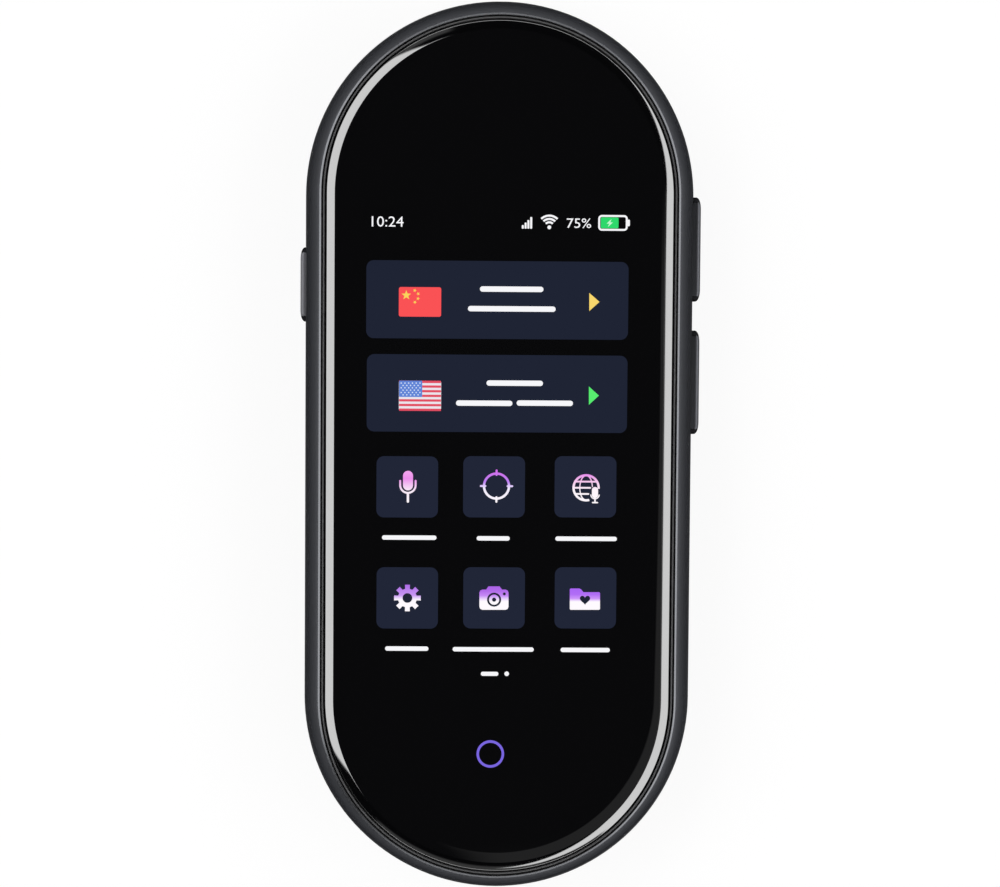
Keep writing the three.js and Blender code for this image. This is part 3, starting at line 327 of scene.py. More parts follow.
def finish(name, color, rough, metal=0.0, grain=0.0, size=0.4, bump=0.0, bump_size=0.12,
           rough_spread=0.0, **sockets):
    """A surface with a fine grain: size and bump_size in millimetres, grain as a share of the
    colour, and rough_spread as what the grain adds to the roughness or takes from it."""
    look = plain(name, Base_Color=linear(*color), Roughness=rough, Metallic=metal, **sockets)
    if not (grain or rough_spread or bump):
        return look
    tree = look.node_tree
    shader = tree.nodes["Principled BSDF"]
    where = tree.nodes.new("ShaderNodeTexCoord")

    def noise(spacing, detail):
        made = tree.nodes.new("ShaderNodeTexNoise")
        made.inputs["Scale"].default_value = 1 / (spacing * MM)
        made.inputs["Detail"].default_value = detail
        tree.links.new(where.outputs["Object"], made.inputs["Vector"])
        return made.outputs["Fac"]

    if grain or rough_spread:
        pattern = noise(size, 3)
    if grain:
        ramp = tree.nodes.new("ShaderNodeValToRGB")
        for element, place, gain in zip(
                ramp.color_ramp.elements, (0.3, 0.7), (1 - grain, 1 + grain)):
            element.position = place
            element.color = tuple(min(1, c * gain) for c in linear(*color)[:3]) + (1.0,)
        tree.links.new(pattern, ramp.inputs["Fac"])
        tree.links.new(ramp.outputs["Color"], shader.inputs["Base Color"])
    if rough_spread:
        spread = tree.nodes.new("ShaderNodeMapRange")
        spread.inputs["To Min"].default_value = rough - rough_spread
        spread.inputs["To Max"].default_value = rough + rough_spread
        tree.links.new(pattern, spread.inputs["Value"])
        tree.links.new(spread.outputs["Result"], shader.inputs["Roughness"])
    if bump:
        raised = tree.nodes.new("ShaderNodeBump")
        raised.inputs["Strength"].default_value = bump
        raised.inputs["Distance"].default_value = 0.02 * MM
        tree.links.new(noise(bump_size, 2), raised.inputs["Height"])
        tree.links.new(raised.outputs["Normal"], shader.inputs["Normal"])
    return look


COATED = 1.3  # IOR of the front glass, which has a coating that lowers its gloss
GLOSSY_EDGE = 2.33  # IOR of its ground edge, which shines more than the front


def lit(name, color):
    """A mark of the lit screen behind gloss glass."""
    return plain(name, Base_Color=(0.0, 0.0, 0.0, 1.0), Roughness=0.08, IOR=COATED,
                 Emission_Color=linear(*color), Emission_Strength=1.0)


def lit_fade(name, stops):
    """A lit mark whose colour runs from its bottom to its top: stops are (share, colour)."""
    look = lit(name, (255, 255, 255))
    tree = look.node_tree
    where = tree.nodes.new("ShaderNodeTexCoord")
    split = tree.nodes.new("ShaderNodeSeparateXYZ")
    ramp = tree.nodes.new("ShaderNodeValToRGB")
    elements = ramp.color_ramp.elements
    while len(elements) < len(stops):
        elements.new(0.5)
    for element, (share, color) in zip(elements, stops):
        element.position = share
        element.color = linear(*color)
    tree.links.new(where.outputs["Generated"], split.inputs["Vector"])
    tree.links.new(split.outputs["Y"], ramp.inputs["Fac"])
    tree.links.new(ramp.outputs["Color"],
                   tree.nodes["Principled BSDF"].inputs["Emission Color"])
    return look


# The satin metals don't brighten where they are seen at a grazing angle
DARK_EDGE = dict(Specular_IOR_Level=0.0, Specular_Tint=(0.25, 0.25, 0.25, 1.0))
frame_metal = finish("frame_satin_metal", (58, 59, 62), 0.42, 0.72, grain=0.05, size=0.35,
                     rough_spread=0.05, bump=0.12, **DARK_EDGE)
lip_metal = finish("frame_cut_lip", (91, 92, 95), 0.28, 0.95, grain=0.04, size=0.5,
                   rough_spread=0.04)
key_metal = finish("key_satin_metal", (78, 79, 83), 0.36, 0.8, grain=0.05, size=0.35,
                   rough_spread=0.05, bump=0.1, **DARK_EDGE)
power_metal = finish("power_key_metal", (104, 104, 108), 0.36, 0.35, grain=0.05, size=0.35,
                     rough_spread=0.05, bump=0.1, **DARK_EDGE)
# Darker metal for the caps' end faces: painted shade where the ends turn into their slots
painted_key_end_shade = finish("key_end_painted_shade", (30, 30, 32), 0.4, 0.7, grain=0.05, size=0.35,
                       rough_spread=0.05, **DARK_EDGE)
cover_plastic = finish("cover_soft_plastic", (56, 58, 62), 0.62, grain=0.08, size=0.6,
                       rough_spread=0.06, bump=0.35, bump_size=0.22)
glass_black = finish("glass_black", (8, 8, 9), 0.03, IOR=COATED)
glass_edge = finish("glass_ground_edge", (6, 6, 7), 0.05, IOR=GLOSSY_EDGE)
rubber = finish("gasket_rubber", (66, 66, 67), 0.7, grain=0.1, size=0.2, bump=0.2)
# Black tape for the shelf under the glass; on the frame it also covers the pocket's walls and
# shelf, painted shade in the gap between lip, gasket and glass
black_tape_and_pocket_shade = finish("tape_black_and_pocket_shade", (24, 24, 26), 0.85, grain=0.15, size=0.5, bump=0.3)
display_film = finish("display_film", (26, 30, 43), 0.25, grain=0.06, size=0.3)
backlight_film = finish("backlight_film", (226, 228, 230), 0.45, grain=0.03, size=0.4)
flex_film = finish("flex_polyimide", (181, 112, 30), 0.4, grain=0.18, size=0.5,
                   rough_spread=0.06, Coat_Weight=0.3)
board_mask = finish("board_solder_mask", (20, 68, 46), 0.45, grain=0.2, size=0.7,
                    rough_spread=0.08, bump=0.2)
shield_metal = finish("shield_nickel", (184, 186, 188), 0.34, 0.95, grain=0.05, size=0.8,
                      rough_spread=0.08)
steel = finish("steel_brushed", (160, 162, 166), 0.32, 0.95, grain=0.06, size=0.4,
               rough_spread=0.08)
trim_metal = finish("camera_trim_metal", (96, 97, 101), 0.26, 0.95, grain=0.04, size=0.3,
                    rough_spread=0.04)
ivory = finish("connector_ivory", (227, 222, 210), 0.55, grain=0.04, size=0.4)
black_plastic = finish("plastic_black", (30, 31, 33), 0.5, grain=0.12, size=0.4, bump=0.2)
battery_wrap = finish("battery_pouch", (44, 46, 50), 0.4, 0.15, grain=0.1, size=1.5,
                      rough_spread=0.08, bump=0.3, bump_size=0.8)
foam = finish("foam_black", (42, 42, 44), 0.95, grain=0.3, size=0.25, bump=0.8)
lens_glass = finish("lens_coated", (16, 20, 34), 0.04, IOR=1.9, Coat_Weight=0.6)
window_glass = plain("camera_window_glass", Base_Color=linear(244, 247, 250), Roughness=0.02,
                     IOR=1.5, Transmission_Weight=1.0)
diffuser = finish("light_pipe_frosted", (233, 230, 245), 0.3, grain=0.03, size=0.5,
                  Subsurface_Weight=0.3)
gold = finish("contact_gold", (214, 170, 92), 0.25, 1.0, grain=0.05, size=0.2)

slot_looks = {
    "frame_metal": frame_metal, "key_metal": key_metal, "cover_plastic": cover_plastic,
    "cover_glass": glass_black, "rubber": rubber, "tape": black_tape_and_pocket_shade, "display": display_film,
    "backlight": backlight_film, "flex": flex_film, "board": board_mask,
    "shield": shield_metal, "steel": steel, "connector": ivory,
    "black_plastic": black_plastic, "battery": battery_wrap, "foam": foam,
    "lens": lens_glass, "diffuser": diffuser,
}
for entry in frame["record"]["subparts"]:
    materials = nodes[entry["node"]].data.materials
    materials.clear()
    materials.append(slot_looks[entry["material_slot"]])

# Frame and cover


def back_inset(height):
    """The inset of the flank's lower curve at a height."""
    share = (WIDEST - height) / WIDEST
    return BACK_CURVE * (1 - math.sqrt(max(0, 1 - share * share)))


def front_point(angle):
    """The inset and height of the flank's upper curve where it has turned by an angle."""
    inset = LIP_INSET * (1 - math.cos(angle)) / (1 - math.cos(LIP_ANGLE))
    return inset, WIDEST + (LIP_TOP - WIDEST) * math.sin(angle) / math.sin(LIP_ANGLE)


def flank_normal(point):
    """The exact normal of the body's outer face, or None away from it."""
    near = 0.04
    x, y, z = point
    past = max(0, abs(y) - HALF_FLANK) * (1 if y > 0 else -1)
    out = Vector((x, past, 0))
    inset = HALF_WIDTH - out.length
    if out.length < 1:
        return None
    out.normalize()
    if z >= WIDEST:
        rise = (z - WIDEST) / (LIP_TOP - WIDEST) * math.sin(LIP_ANGLE)
        if rise > math.sin(LIP_ANGLE):
            return None
        angle = math.asin(rise)
        wide = LIP_INSET / (1 - math.cos(LIP_ANGLE))
        tall = (LIP_TOP - WIDEST) / math.sin(LIP_ANGLE)
        if abs(inset - front_point(angle)[0]) > near:
            return None
        return (out * tall * math.cos(angle) + Vector((0, 0, wide * math.sin(angle)))).normalized()
    if z < near / 2 or abs(inset - back_inset(z)) > near:
        return None
    share = (WIDEST - z) / WIDEST
    slope = BACK_CURVE * share / (WIDEST * math.sqrt(max(1e-6, 1 - share * share)))
    return (out - Vector((0, 0, slope))).normalized()


def out_of_flank(side, middle):
    """Lays a key's form, made upright about the origin, so that it points out of a flank."""
    return lambda p: (side * p[2], middle + side * p[0], KEY_MIDDLE + p[1])


# The frame's outside, from the seam over the widest line to the lip, and down inside the lip
curve_end = math.radians(75.5)
curve_steps = 30
lip_width = 0.32
layers = [(back_inset(FRAME_BOTTOM) + SEAM, FRAME_BOTTOM)]
layers += [(back_inset(z), z) for z in (FRAME_BOTTOM + SEAM, 3.9, 4.3, 4.7, 5.1, 5.35)]
layers += [front_point(curve_end * i / curve_steps) for i in range(curve_steps + 1)]
lip_inset, lip_height = layers[-1]
layers += [(lip_inset + 0.26, lip_height + 0.26 * math.tan(math.radians(26))),
           (lip_inset + 0.3, lip_height + 0.12), (lip_inset + lip_width, lip_height + 0.04),
           (lip_inset + lip_width, SHELF)]
body = Form().loft(stadium, layers).object("frame_shell")
cut(body, Form().loft(stadium, [(WALL, 2.5), (WALL, PLATE_BOTTOM)]).object("inside"))

bosses = Form()
holes = Form()
boss_radius, boss_top, hole_radius, hole_depth = 1.6, 8.78, 0.77, 2.3
for kind, count, face in SCREWS:
    for number in range(1, count + 1):
        low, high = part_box(f"{kind}_{number}")
        place = ((low[0] + high[0]) / 2 / MM, (low[1] + high[1]) / 2 / MM)
        bosses.turned(place, [(boss_radius, face + BOARD), (boss_radius, boss_top)], 32)
        holes.turned(place, [(hole_radius, face), (hole_radius, face + hole_depth)], 24)
cut(body, bosses.object("bosses"), "UNION")
cut(body, holes.object("holes"))

recess = Form()
for outline in (lambda i: rounded(45.8, 80.05, 1.5, i, 8, (0, -0.975)),  # for the display
                lambda i: rounded(8.6, 4.8, 1.1, i, 8, HOME)):  # for the home key's board
    recess.loft(outline, [(0, PLATE_TOP), (0, 11.2)])
cut(body, recess.object("recess"))
opening = Form()
# the slot of the display's flex, the socket's tunnel, the microphones' holes, the keys' slots
opening.loft(lambda i: rounded(11.7, 0.85, 0.1, i, 3, (0, 38.425)), [(0, 8.0), (0, 9.1)])
opening.along_y(lambda i: rounded(9.4, 3.6, 1.8, i, 14), [(0, -56.1), (0, -66.0)], SOCKET_HEIGHT)
for start, end, height, x in ((65.5, 61.5, 7.25, 0.0), (-59.84, -65.5, 4.85, 9.5)):
    opening.along_y(lambda i: circle(MICROPHONE_HOLE, 36), [(0, start), (0, end)], height, x)
slot_width = KEY_HEIGHT + 2 * KEY_PLAY
for _, side, middle, length, _ in KEYS:
    opening.loft(lambda i: rounded(
        length + 2 * KEY_PLAY, slot_width, KEY_CORNER + KEY_PLAY, i, 10),
        [(0, FLANGE_FACE), (0, 27.75), (-0.14, 27.98), (-0.14, 29.5)],
        turn=out_of_flank(side, middle))
cut(body, opening.object("openings"))
shade(body, flank_normal, angle=12)
add(body, [frame_metal, lip_metal, black_tape_and_pocket_shade], stands_for=["mid_frame"])
body.name = "frame_body"
# Faces of the lip take the cut-lip metal; the pocket inside the lip takes the black tape, which
# paints shade into the gap round the gasket
for face in body.data.polygons:
    x, y, z = face.center / MM
    inset = HALF_WIDTH - math.hypot(x, max(0, abs(y) - HALF_FLANK))
    on_lip = z > LIP_TOP - 0.05
    painted_pocket_shade = inset > lip_inset + lip_width - 0.01 and z > SHELF - 0.1
    face.material_index = 1 if on_lip else 2 if painted_pocket_shade else 0

# The rear cover: a shell with a tongue inside the frame, a rounded cavity and its holes
back_steps = 14
layers = []
for i in range(back_steps + 1):
    height = (COVER_TOP - SEAM) * (1 - math.sin((1 - i / back_steps) * math.pi / 2))
    layers.append((back_inset(height), height))
layers.append((back_inset(COVER_TOP) + SEAM, COVER_TOP))
cover = Form().loft(stadium, layers).object("rear_shell")
tongue_inset, tongue_top = WALL + 0.15, 4.0
cut(cover, Form().loft(stadium, [(tongue_inset, 1.3), (tongue_inset, tongue_top)]).object(
    "tongue"), "UNION")
cavity_inset, cavity_floor, cavity_corner, past_top = 3.15, 1.2, 1.05, 4.6
layers = [(cavity_inset + cavity_corner * (1 - math.sin(a)),
           cavity_floor + cavity_corner * (1 - math.cos(a)))
          for a in (math.pi / 2 * i / 8 for i in range(9))]
cut(cover, Form().loft(stadium, layers + [(cavity_inset, past_top)]).object("cavity"))
notch = rounded(9.4, 4.0, 0.05, 0, 2, (0, -62.55))  # in the tongue, for the socket
cut(cover, Form().prism(notch, COVER_TOP, past_top).object("notch"))
holes = Form()


def flared_hole(centre, radius, flare, steps):
    """A hole through the cover, with a chamfer at the back."""
    holes.turned(centre, [(radius + flare, -0.5), (radius + flare, 0.0), (radius, flare),
                          (radius, 2.0)], steps)


flared_hole(CAMERA, 5.15, 0.15, 96)
flared_hole(FLASH, 1.75, 0.1, 48)
for row in (-0.5, 0.5):
    for column in range(-3, 4):
        flared_hole((column * HOLE_PITCH, SPEAKER_Y + row * HOLE_PITCH), 0.75, 0.12, 28)
cut(cover, holes.object("holes"))
shade(cover, flank_normal)
cover.name = "rear_cover_shell"
add(cover, cover_plastic, stands_for=["rear_cover"])

# Gasket and glass

# The gasket is a bead that shows between the lip and the glass
layers = [(2.79, SHELF), (2.79, 11.27), (2.82, 11.32), (2.86, 11.33), (2.95, 11.33),
          (2.99, 11.32), (3.02, 11.27), (3.02, SHELF)]
dress(Form().loft(stadium, layers, closed=True), "glass_gasket_ring", rubber,
      ["glass_gasket"])

# The front falls slowly from SLOPE_START outwards, and then more steeply in the ground edge
SLOPE_START, SLOPE_TILT = 6.1, math.radians(6.6)
EDGE_START, EDGE_END = 4.45, 3.4
EDGE_TILT = math.radians(22)
EDGE_CROWN = math.radians(3)


def glide(points, target, start, end, steps):
    """Adds the points of a falling profile whose tilt goes evenly from start to end."""
    inset, height = points[-1]
    width = (inset - target) / steps
    for i in range(steps):
        inset -= width
        height -= width * math.tan(start + (end - start) * (i + 0.5) / steps)
        points.append((inset, height))


first_tilt, last_tilt = EDGE_TILT - EDGE_CROWN, EDGE_TILT + EDGE_CROWN
profile = [(SLOPE_START, GLASS_TOP)]
glide(profile, EDGE_START + 0.15, math.radians(1.4), SLOPE_TILT, 12)  # slow slope of the front
glide(profile, EDGE_START, SLOPE_TILT, first_tilt, 6)  # soft shoulder
glide(profile, EDGE_END, first_tilt, last_tilt, 8)  # ground edge
height = profile[-1][1]
for i in range(1, 7):  # round into the upright side
    tilt = last_tilt + (math.pi / 2 - last_tilt) * i / 6
    profile.append((GLASS_INSET + (EDGE_END - GLASS_INSET) * (1 - math.sin(tilt)) /
                    (1 - math.sin(last_tilt)),
                    height - 0.2 * (math.cos(last_tilt) - math.cos(tilt)) /
                    math.cos(last_tilt)))
profile.append((GLASS_INSET, GLASS_BOTTOM + 0.06))
profile.append((GLASS_INSET + 0.06, GLASS_BOTTOM))
glass = dress(Form().loft(lambda i: stadium(i, 96), profile[::-1]), "glass_plate",
              [glass_black, glass_edge], ["front_glass"], angle=40)
least_tilt, most_tilt = math.radians(8), math.radians(33)  # of what counts as ground edge
for face in glass.data.polygons:
    tilted = math.cos(most_tilt) < face.normal.z < math.cos(least_tilt)
    face.material_index = 1 if tilted else 0

# Keys

CAP_EXTRA = 0.12  # the caps are this much longer than in the CAD model
CAP_ROUND = (0.55, 0.66)  # inset and depth of the rounding round a cap's face
END_SLOPE = 2.9  # what a cap's length loses for each step inwards, on top of the inset

for name, side, middle, length, proud in KEYS:
    face_at = HALF_WIDTH + proud
    layers = [(-FLANGE, FLANGE_BACK), (-FLANGE, FLANGE_FACE), (0.0, FLANGE_FACE),
              (0.0, face_at - CAP_ROUND[1])]
    for i in range(1, 13):
        a = math.pi / 2 * i / 12
        layers.append((CAP_ROUND[0] * (1 - math.cos(a)),
                       face_at - CAP_ROUND[1] * (1 - math.sin(a))))
    key = Form()
    turn = out_of_flank(side, middle)
    # the cap's ends slope more than its long sides
    key.loft(lambda i: rounded(length + CAP_EXTRA - END_SLOPE * max(0, i), KEY_HEIGHT,
                               KEY_CORNER, i, 12), layers, turn=turn)
    key.turned((0, 0), [(1.0, 24.5), (1.0, 25.05)], 32, turn=turn)  # what meets the plunger
    made = key.object(name + "_cap")
    shade(made, angle=38)
    add(made, [power_metal if name == "power" else key_metal, painted_key_end_shade],
        body=name + "_key", stands_for=[name + "_key"])
    # The caps' end faces take the darker metal: painted shade on the ends of the keys
    for face in made.data.polygons:
        painted_dark_end = abs(face.normal.y) > 0.3
        face.material_index = 1 if painted_dark_end else 0

# Camera, flash, socket

profile = [(4.3, 0.13), (4.34, 0.1), (4.9, 0.1), (4.97, 0.13), (5.0, 0.2), (5.0, 1.2), (6.0, 1.2),
           (6.0, 1.6), (3.4, 1.6), (3.4, 0.9), (4.3, 0.9)]
dress(Form().turned(CAMERA, profile, 128, closed=True), "camera_trim_ring", trim_metal,
      ["camera_trim"])
profile = [(4.12, 0.25), (4.2, 0.33), (4.2, 0.9)]
dress(Form().turned(CAMERA, profile, 96), "camera_window_disc", window_glass,
      ["camera_window"])
profile = [(2.2, 0.98), (4.1, 0.98), (4.1, 0.92), (2.2, 0.92)]
dress(Form().turned(CAMERA, profile, 96, closed=True), "camera_mask",
      black_plastic)

pipe_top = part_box("flash_light_pipe")[1][2] / MM
profile = [(0.01, 0.16)]
for ring in range(5):  # ring lens on its face
    r = 0.22 + ring * 0.26
    profile += [(r, 0.1 + 0.06 * (ring % 2)), (r + 0.04, 0.2)]
profile += [(1.52, 0.1), (1.6, 0.16), (1.6, 1.2), (2.4, 1.2), (2.4, 1.7), (1.6, 1.7),
            (1.6, pipe_top)]
dress(Form().turned(FLASH, profile, 64), "flash_ring_lens", diffuser,
      ["flash_light_pipe"], angle=24)

stations = [(0.0, -56.3), (0.0, -63.62), (0.04, -63.7), (0.26, -63.7), (0.3, -63.62),
            (0.3, -57.5)]
socket = Form().along_y(lambda i: rounded(9.0, 3.2, 1.6, i, 14), stations, SOCKET_HEIGHT)
dress(socket, "socket_shell", steel, ["usb_socket"])
tongue = Form().along_y(lambda i: rounded(6.7 - 2 * i, 0.7 - 2 * i, 0.15, 0, 6),
                        [(0.0, -57.4), (0.0, -62.7), (0.08, -62.8)], SOCKET_HEIGHT)
dress(tongue, "socket_tongue", black_plastic, ["usb_socket_tongue"])
contacts = Form()
contact_pitch, contact_lift = 0.5, 0.35
for side in (-1, 1):
    for k in range(12):
        contacts.along_y(lambda i: rounded(0.26, 0.05, 0.02, i, 2), [(0, -57.8), (0, -62.4)],
                         SOCKET_HEIGHT + side * contact_lift, (k - 5.5) * contact_pitch)
add(contacts.object("socket_contacts"), gold)

# Screen

# Bottom of the marks, just inside the glass, and tops of their three layers. The parts of the
# lower flag, and what lies on the camera and the folder, differ a little within a layer.
SUNK = GLASS_TOP - 0.02
CARD, ICON, INK = 11.96, 11.98, MARK_TOP
UNDER_INK = INK - 0.004
card_look = lit("screen_card", (31, 36, 52))
white_look = lit("screen_white", (247, 247, 250))


def patch(form, x0, y0, x1, y1, radius, low, high, steps=8):
    """A rounded patch between two corners, given in the photograph's pixels."""
    centre = at((x0 + x1) / 2, (y0 + y1) / 2)
    return form.prism(rounded(px(x1 - x0), px(y1 - y0), px(radius), 0, steps, centre), low, high)


def flat(form, points, low, high):
    """A flat mark inside an outline given in the photograph's pixels."""
    corners = [at(x, y) for x, y in points]
    area = sum(a[0] * b[1] - b[0] * a[1] for a, b in zip(corners, corners[1:] + corners[:1]))
    return form.prism(corners if area > 0 else corners[::-1], low, high)


def polar(centre, radius, angle):
    """A point of the screen at a radius in pixels and an angle from a centre."""
    return centre[0] + px(radius) * math.cos(angle), centre[1] + px(radius) * math.sin(angle)


def drawn_in(points, centre, radius):
    """The inner outline of a frame: the same directions from a centre, at one radius."""
    return [polar(centre, radius, math.atan2(y - centre[1], x - centre[0])) for x, y in points]


def mark(form, name, look):
    """Gives a flat mark its look and puts it in the housing."""
    add(form.object(name), look)


cards = Form()
patch(cards, 366.6, 261.2, 628.2, 338.9, 7.5, SUNK, CARD)
patch(cards, 366.8, 354.9, 627.4, 432.3, 7.5, SUNK, CARD)
mark(cards, "screen_cards", card_look)
tiles = Form()
for y0, y1 in ((456.2, 517.7), (567.1, 628.9)):
    for x0, x1 in ((376.4, 438.1), (463.1, 525.0), (554.5, 616.4)):
        patch(tiles, x0, y0, x1, y1, 7.5, SUNK, CARD)
mark(tiles, "screen_tiles", lit("screen_tile", (33, 38, 55)))

# Status bar: clock, signal bars, radio fan, charge


def digits(text, name, x0, x1, middle, height):
    """Plain numbers between two pixels, of a height in pixels."""
    curve = bpy.data.curves.new(name, "FONT")
    curve.body = text
    curve.resolution_u = 3
    made = put(name, curve)
    mesh = evaluated_mesh(made)
    bpy.data.objects.remove(made)
    xs = [v.co.x for v in mesh.vertices]
    ys = [v.co.y for v in mesh.vertices]
    cx, cy = at((x0 + x1) / 2, middle)
    wide, tall = px(x1 - x0), px(height)
    for v in mesh.vertices:
        v.co = Vector(((cx + ((v.co.x - min(xs)) / (max(xs) - min(xs)) - 0.5) * wide) * MM,
                       (cy + ((v.co.y - min(ys)) / (max(ys) - min(ys)) - 0.5) * tall) * MM,
                       INK * MM))
    add(put(name, mesh), white_look)


digits("10:24", "screen_clock", 371.8, 403.5, 221.5, 10.3)
digits("75%", "screen_charge_share", 566.8, 591.2, 223.2, 9.6)
status = Form()
for k, height in enumerate((3.5, 6.0, 8.5, 11.5)):
    patch(status, 521.8 + k * 2.8, 228.6 - height, 523.8 + k * 2.8, 228.6, 0.6, GLASS_TOP, INK, 3)
fan = at(549.3, 227.3)
for radius in (5.0, 8.3, 11.6):
    status.arc(fan, px(radius), px(2.0), 46, 134, GLASS_TOP, INK, 14)
status.prism(circle(px(1.9), 20, fan), GLASS_TOP, INK)
centre = at(613.0, 222.9)
status.frame(rounded(px(29.4), px(15.6), px(3.6), 0, 6, centre),
             rounded(px(29.4), px(15.6), px(3.6), px(1.9), 6, centre), GLASS_TOP, INK)
patch(status, 627.6, 219.6, 629.9, 226.2, 1.0, GLASS_TOP, INK, 3)
mark(status, "screen_status_marks", white_look)
charge = patch(Form(), 600.9, 217.4, 618.5, 228.3, 1.2, GLASS_TOP, ICON, 4)
mark(charge, "screen_charge_level", lit("screen_green", (46, 216, 108)))
bolt = flat(Form(), [(611.6, 218.9), (606.6, 223.6), (609.3, 223.6), (607.8, 227.2),
                     (612.9, 222.4), (610.2, 222.4)], ICON, INK)
mark(bolt, "screen_charge_bolt", lit("screen_pale_green", (196, 247, 212)))

# Cards: their flags and arrows


def star(form, x, y, radius, turn):
    """A star with five points, at a pixel and with a radius in pixels, turned by degrees."""
    points = []
    for k in range(10):
        r = radius if k % 2 == 0 else radius * 0.42
        a = math.radians(turn) + math.pi * k / 5
        points.append((x + r * math.sin(a), y - r * math.cos(a)))
    flat(form, points, ICON, INK)


FLAG = (398.9, 441.1)  # left and right side of both flags
red = patch(Form(), FLAG[0], 287.2, FLAG[1], 316.6, 2.0, CARD, ICON, 5)
mark(red, "screen_flag_upper_field", lit("screen_flag_red", (250, 82, 85)))
stars = Form()
star(stars, 406.3, 295.2, 5.0, 0)
for x, y, turn in ((414.8, 290.5, 20), (418.2, 293.8, 45), (418.0, 298.6, 8), (414.9, 302.2, 30)):
    star(stars, x, y, 1.9, turn)
mark(stars, "screen_flag_upper_stars", lit("screen_flag_yellow", (250, 213, 92)))

LOWER_FLAG = (380.7, 410.9)  # its top and bottom
STRIPES = 13
stripe = (LOWER_FLAG[1] - LOWER_FLAG[0]) / STRIPES
white_field = patch(Form(), FLAG[0], LOWER_FLAG[0], FLAG[1], LOWER_FLAG[1], 2.0,
                    CARD, CARD + 0.007, 5)
mark(white_field, "screen_flag_lower_field", lit("screen_flag_white", (236, 228, 236)))
stripes = Form()
for k in range(0, STRIPES, 2):
    top = LOWER_FLAG[0] + k * stripe
    patch(stripes, FLAG[0] + 0.2, top, FLAG[1] - 0.2, top + stripe, 0.3, CARD, CARD + 0.013, 2)
mark(stripes, "screen_flag_lower_stripes", lit("screen_flag_stripe", (226, 78, 98)))
canton = patch(Form(), FLAG[0] + 0.2, LOWER_FLAG[0], 422.2, LOWER_FLAG[0] + 7 * stripe, 0.8,
               CARD, CARD + 0.02, 3)
mark(canton, "screen_flag_lower_canton", lit("screen_flag_blue", (96, 132, 214)))
spots = Form()
for row in range(6):
    for column in range(6 - row % 2):
        centre = at(401.2 + (column + 0.5 * (row % 2)) * 3.75, 383.1 + row * 2.35)
        spots.prism(circle(px(0.75), 8, centre), ICON - 0.005, INK)
mark(spots, "screen_flag_lower_spots", lit("screen_flag_spot", (214, 226, 250)))

arrow = flat(Form(), [(589.3, 292.9), (599.5, 301.9), (589.3, 311.0)], CARD, INK)
mark(arrow, "screen_arrow_upper", lit("screen_arrow_yellow", (249, 215, 108)))
arrow = flat(Form(), [(588.9, 386.5), (598.9, 395.6), (588.9, 404.8)], CARD, INK)
mark(arrow, "screen_arrow_lower", lit("screen_arrow_green", (88, 236, 112)))

# Captions are plain bars, with no letter shapes: for each its start and end along the line,
# its middle line and its height, all in pixels
captions = Form()
for x0, x1, y, height in (
        (480.0, 543.4, 289.2, 5.4), (468.0, 555.6, 308.9, 5.4), (486.5, 543.0, 383.2, 5.4),
        (456.0, 512.4, 403.2, 5.4), (516.6, 573.0, 403.2, 5.4),
        (381.9, 436.5, 537.6, 4.4), (476.6, 509.8, 538.4, 4.4), (555.2, 617.0, 538.8, 4.4),
        (385.0, 428.5, 648.6, 4.4), (452.4, 534.0, 649.4, 4.4), (560.4, 610.0, 650.0, 4.4)):
    patch(captions, x0, y - height / 2, x1, y + height / 2, height / 2, CARD, INK)
mark(captions, "screen_captions", white_look)

# Icons of the six tiles, each with its own run of colours from bottom to top

WHITE = (255, 250, 255)

microphone = Form()
patch(microphone, 403.0, 470.8, 413.0, 490.4, 5.0, CARD, INK, 10)
holder = at(407.9, 485.2)
microphone.arc(holder, px(7.7), px(1.9), 180, 360, CARD, INK, 28)
for side in (-7.7, 7.7):
    top = at(407.9 + side, 480.8)
    microphone.line(top, (holder[0] + px(side), holder[1]), px(1.9), CARD, INK)
microphone.line(at(407.9, 494.0), at(407.9, 501.6), px(2.3), CARD, INK)
mark(microphone, "screen_icon_microphone", lit_fade("screen_fade_microphone", [
    (0.0, WHITE), (0.36, (250, 236, 250)), (0.75, (236, 142, 236)), (1.0, (244, 168, 240))]))

aim = Form()
centre = at(496.5, 486.1)
aim.frame(circle(px(13.7), 72, centre), circle(px(11.4), 72, centre), CARD, INK)
for degrees in (0, 90, 180, 270):
    a = math.radians(degrees)
    aim.line(polar(centre, 11.2, a), polar(centre, 15.7, a), px(2.0), CARD, INK)
mark(aim, "screen_icon_aim", lit_fade("screen_fade_aim", [
    (0.0, WHITE), (0.42, (244, 238, 255)), (0.62, (190, 132, 246)), (1.0, (214, 108, 236))]))

globe = Form()
centre = at(586.1, 487.8)
radius = 12.6
globe.arc(centre, px(radius), px(2.2), -4, 285, CARD, INK, 60)
for lift, stop in ((-6.2, 2.4), (0.0, 4.2), (6.2, None)):  # parallels, two of them cut short
    reach = math.sqrt(radius ** 2 - lift ** 2)
    globe.line((centre[0] - px(reach), centre[1] + px(lift)),
               (centre[0] + px(stop or reach), centre[1] + px(lift)), px(1.7), CARD, INK)
globe.arc(centre, px(radius), px(1.9), 90, 270, CARD, INK, 40, squash=0.5)
globe.arc(centre, px(radius), px(1.9), 90, 4, CARD, INK, 20, squash=0.5)
patch(globe, 591.9, 487.0, 598.1, 498.0, 3.0, CARD, INK, 6)  # its small microphone
globe.arc(at(595.0, 494.6), px(4.2), px(1.1), 180, 360, CARD, INK, 14)
globe.line(at(595.0, 498.5), at(595.0, 502.4), px(1.4), CARD, INK)
globe.line(at(592.6, 502.6), at(597.4, 502.6), px(1.4), CARD, INK)
mark(globe, "screen_icon_globe", lit_fade("screen_fade_globe", [
    (0.0, WHITE), (0.45, (255, 246, 252)), (0.8, (246, 190, 236)), (1.0, (230, 140, 238))]))

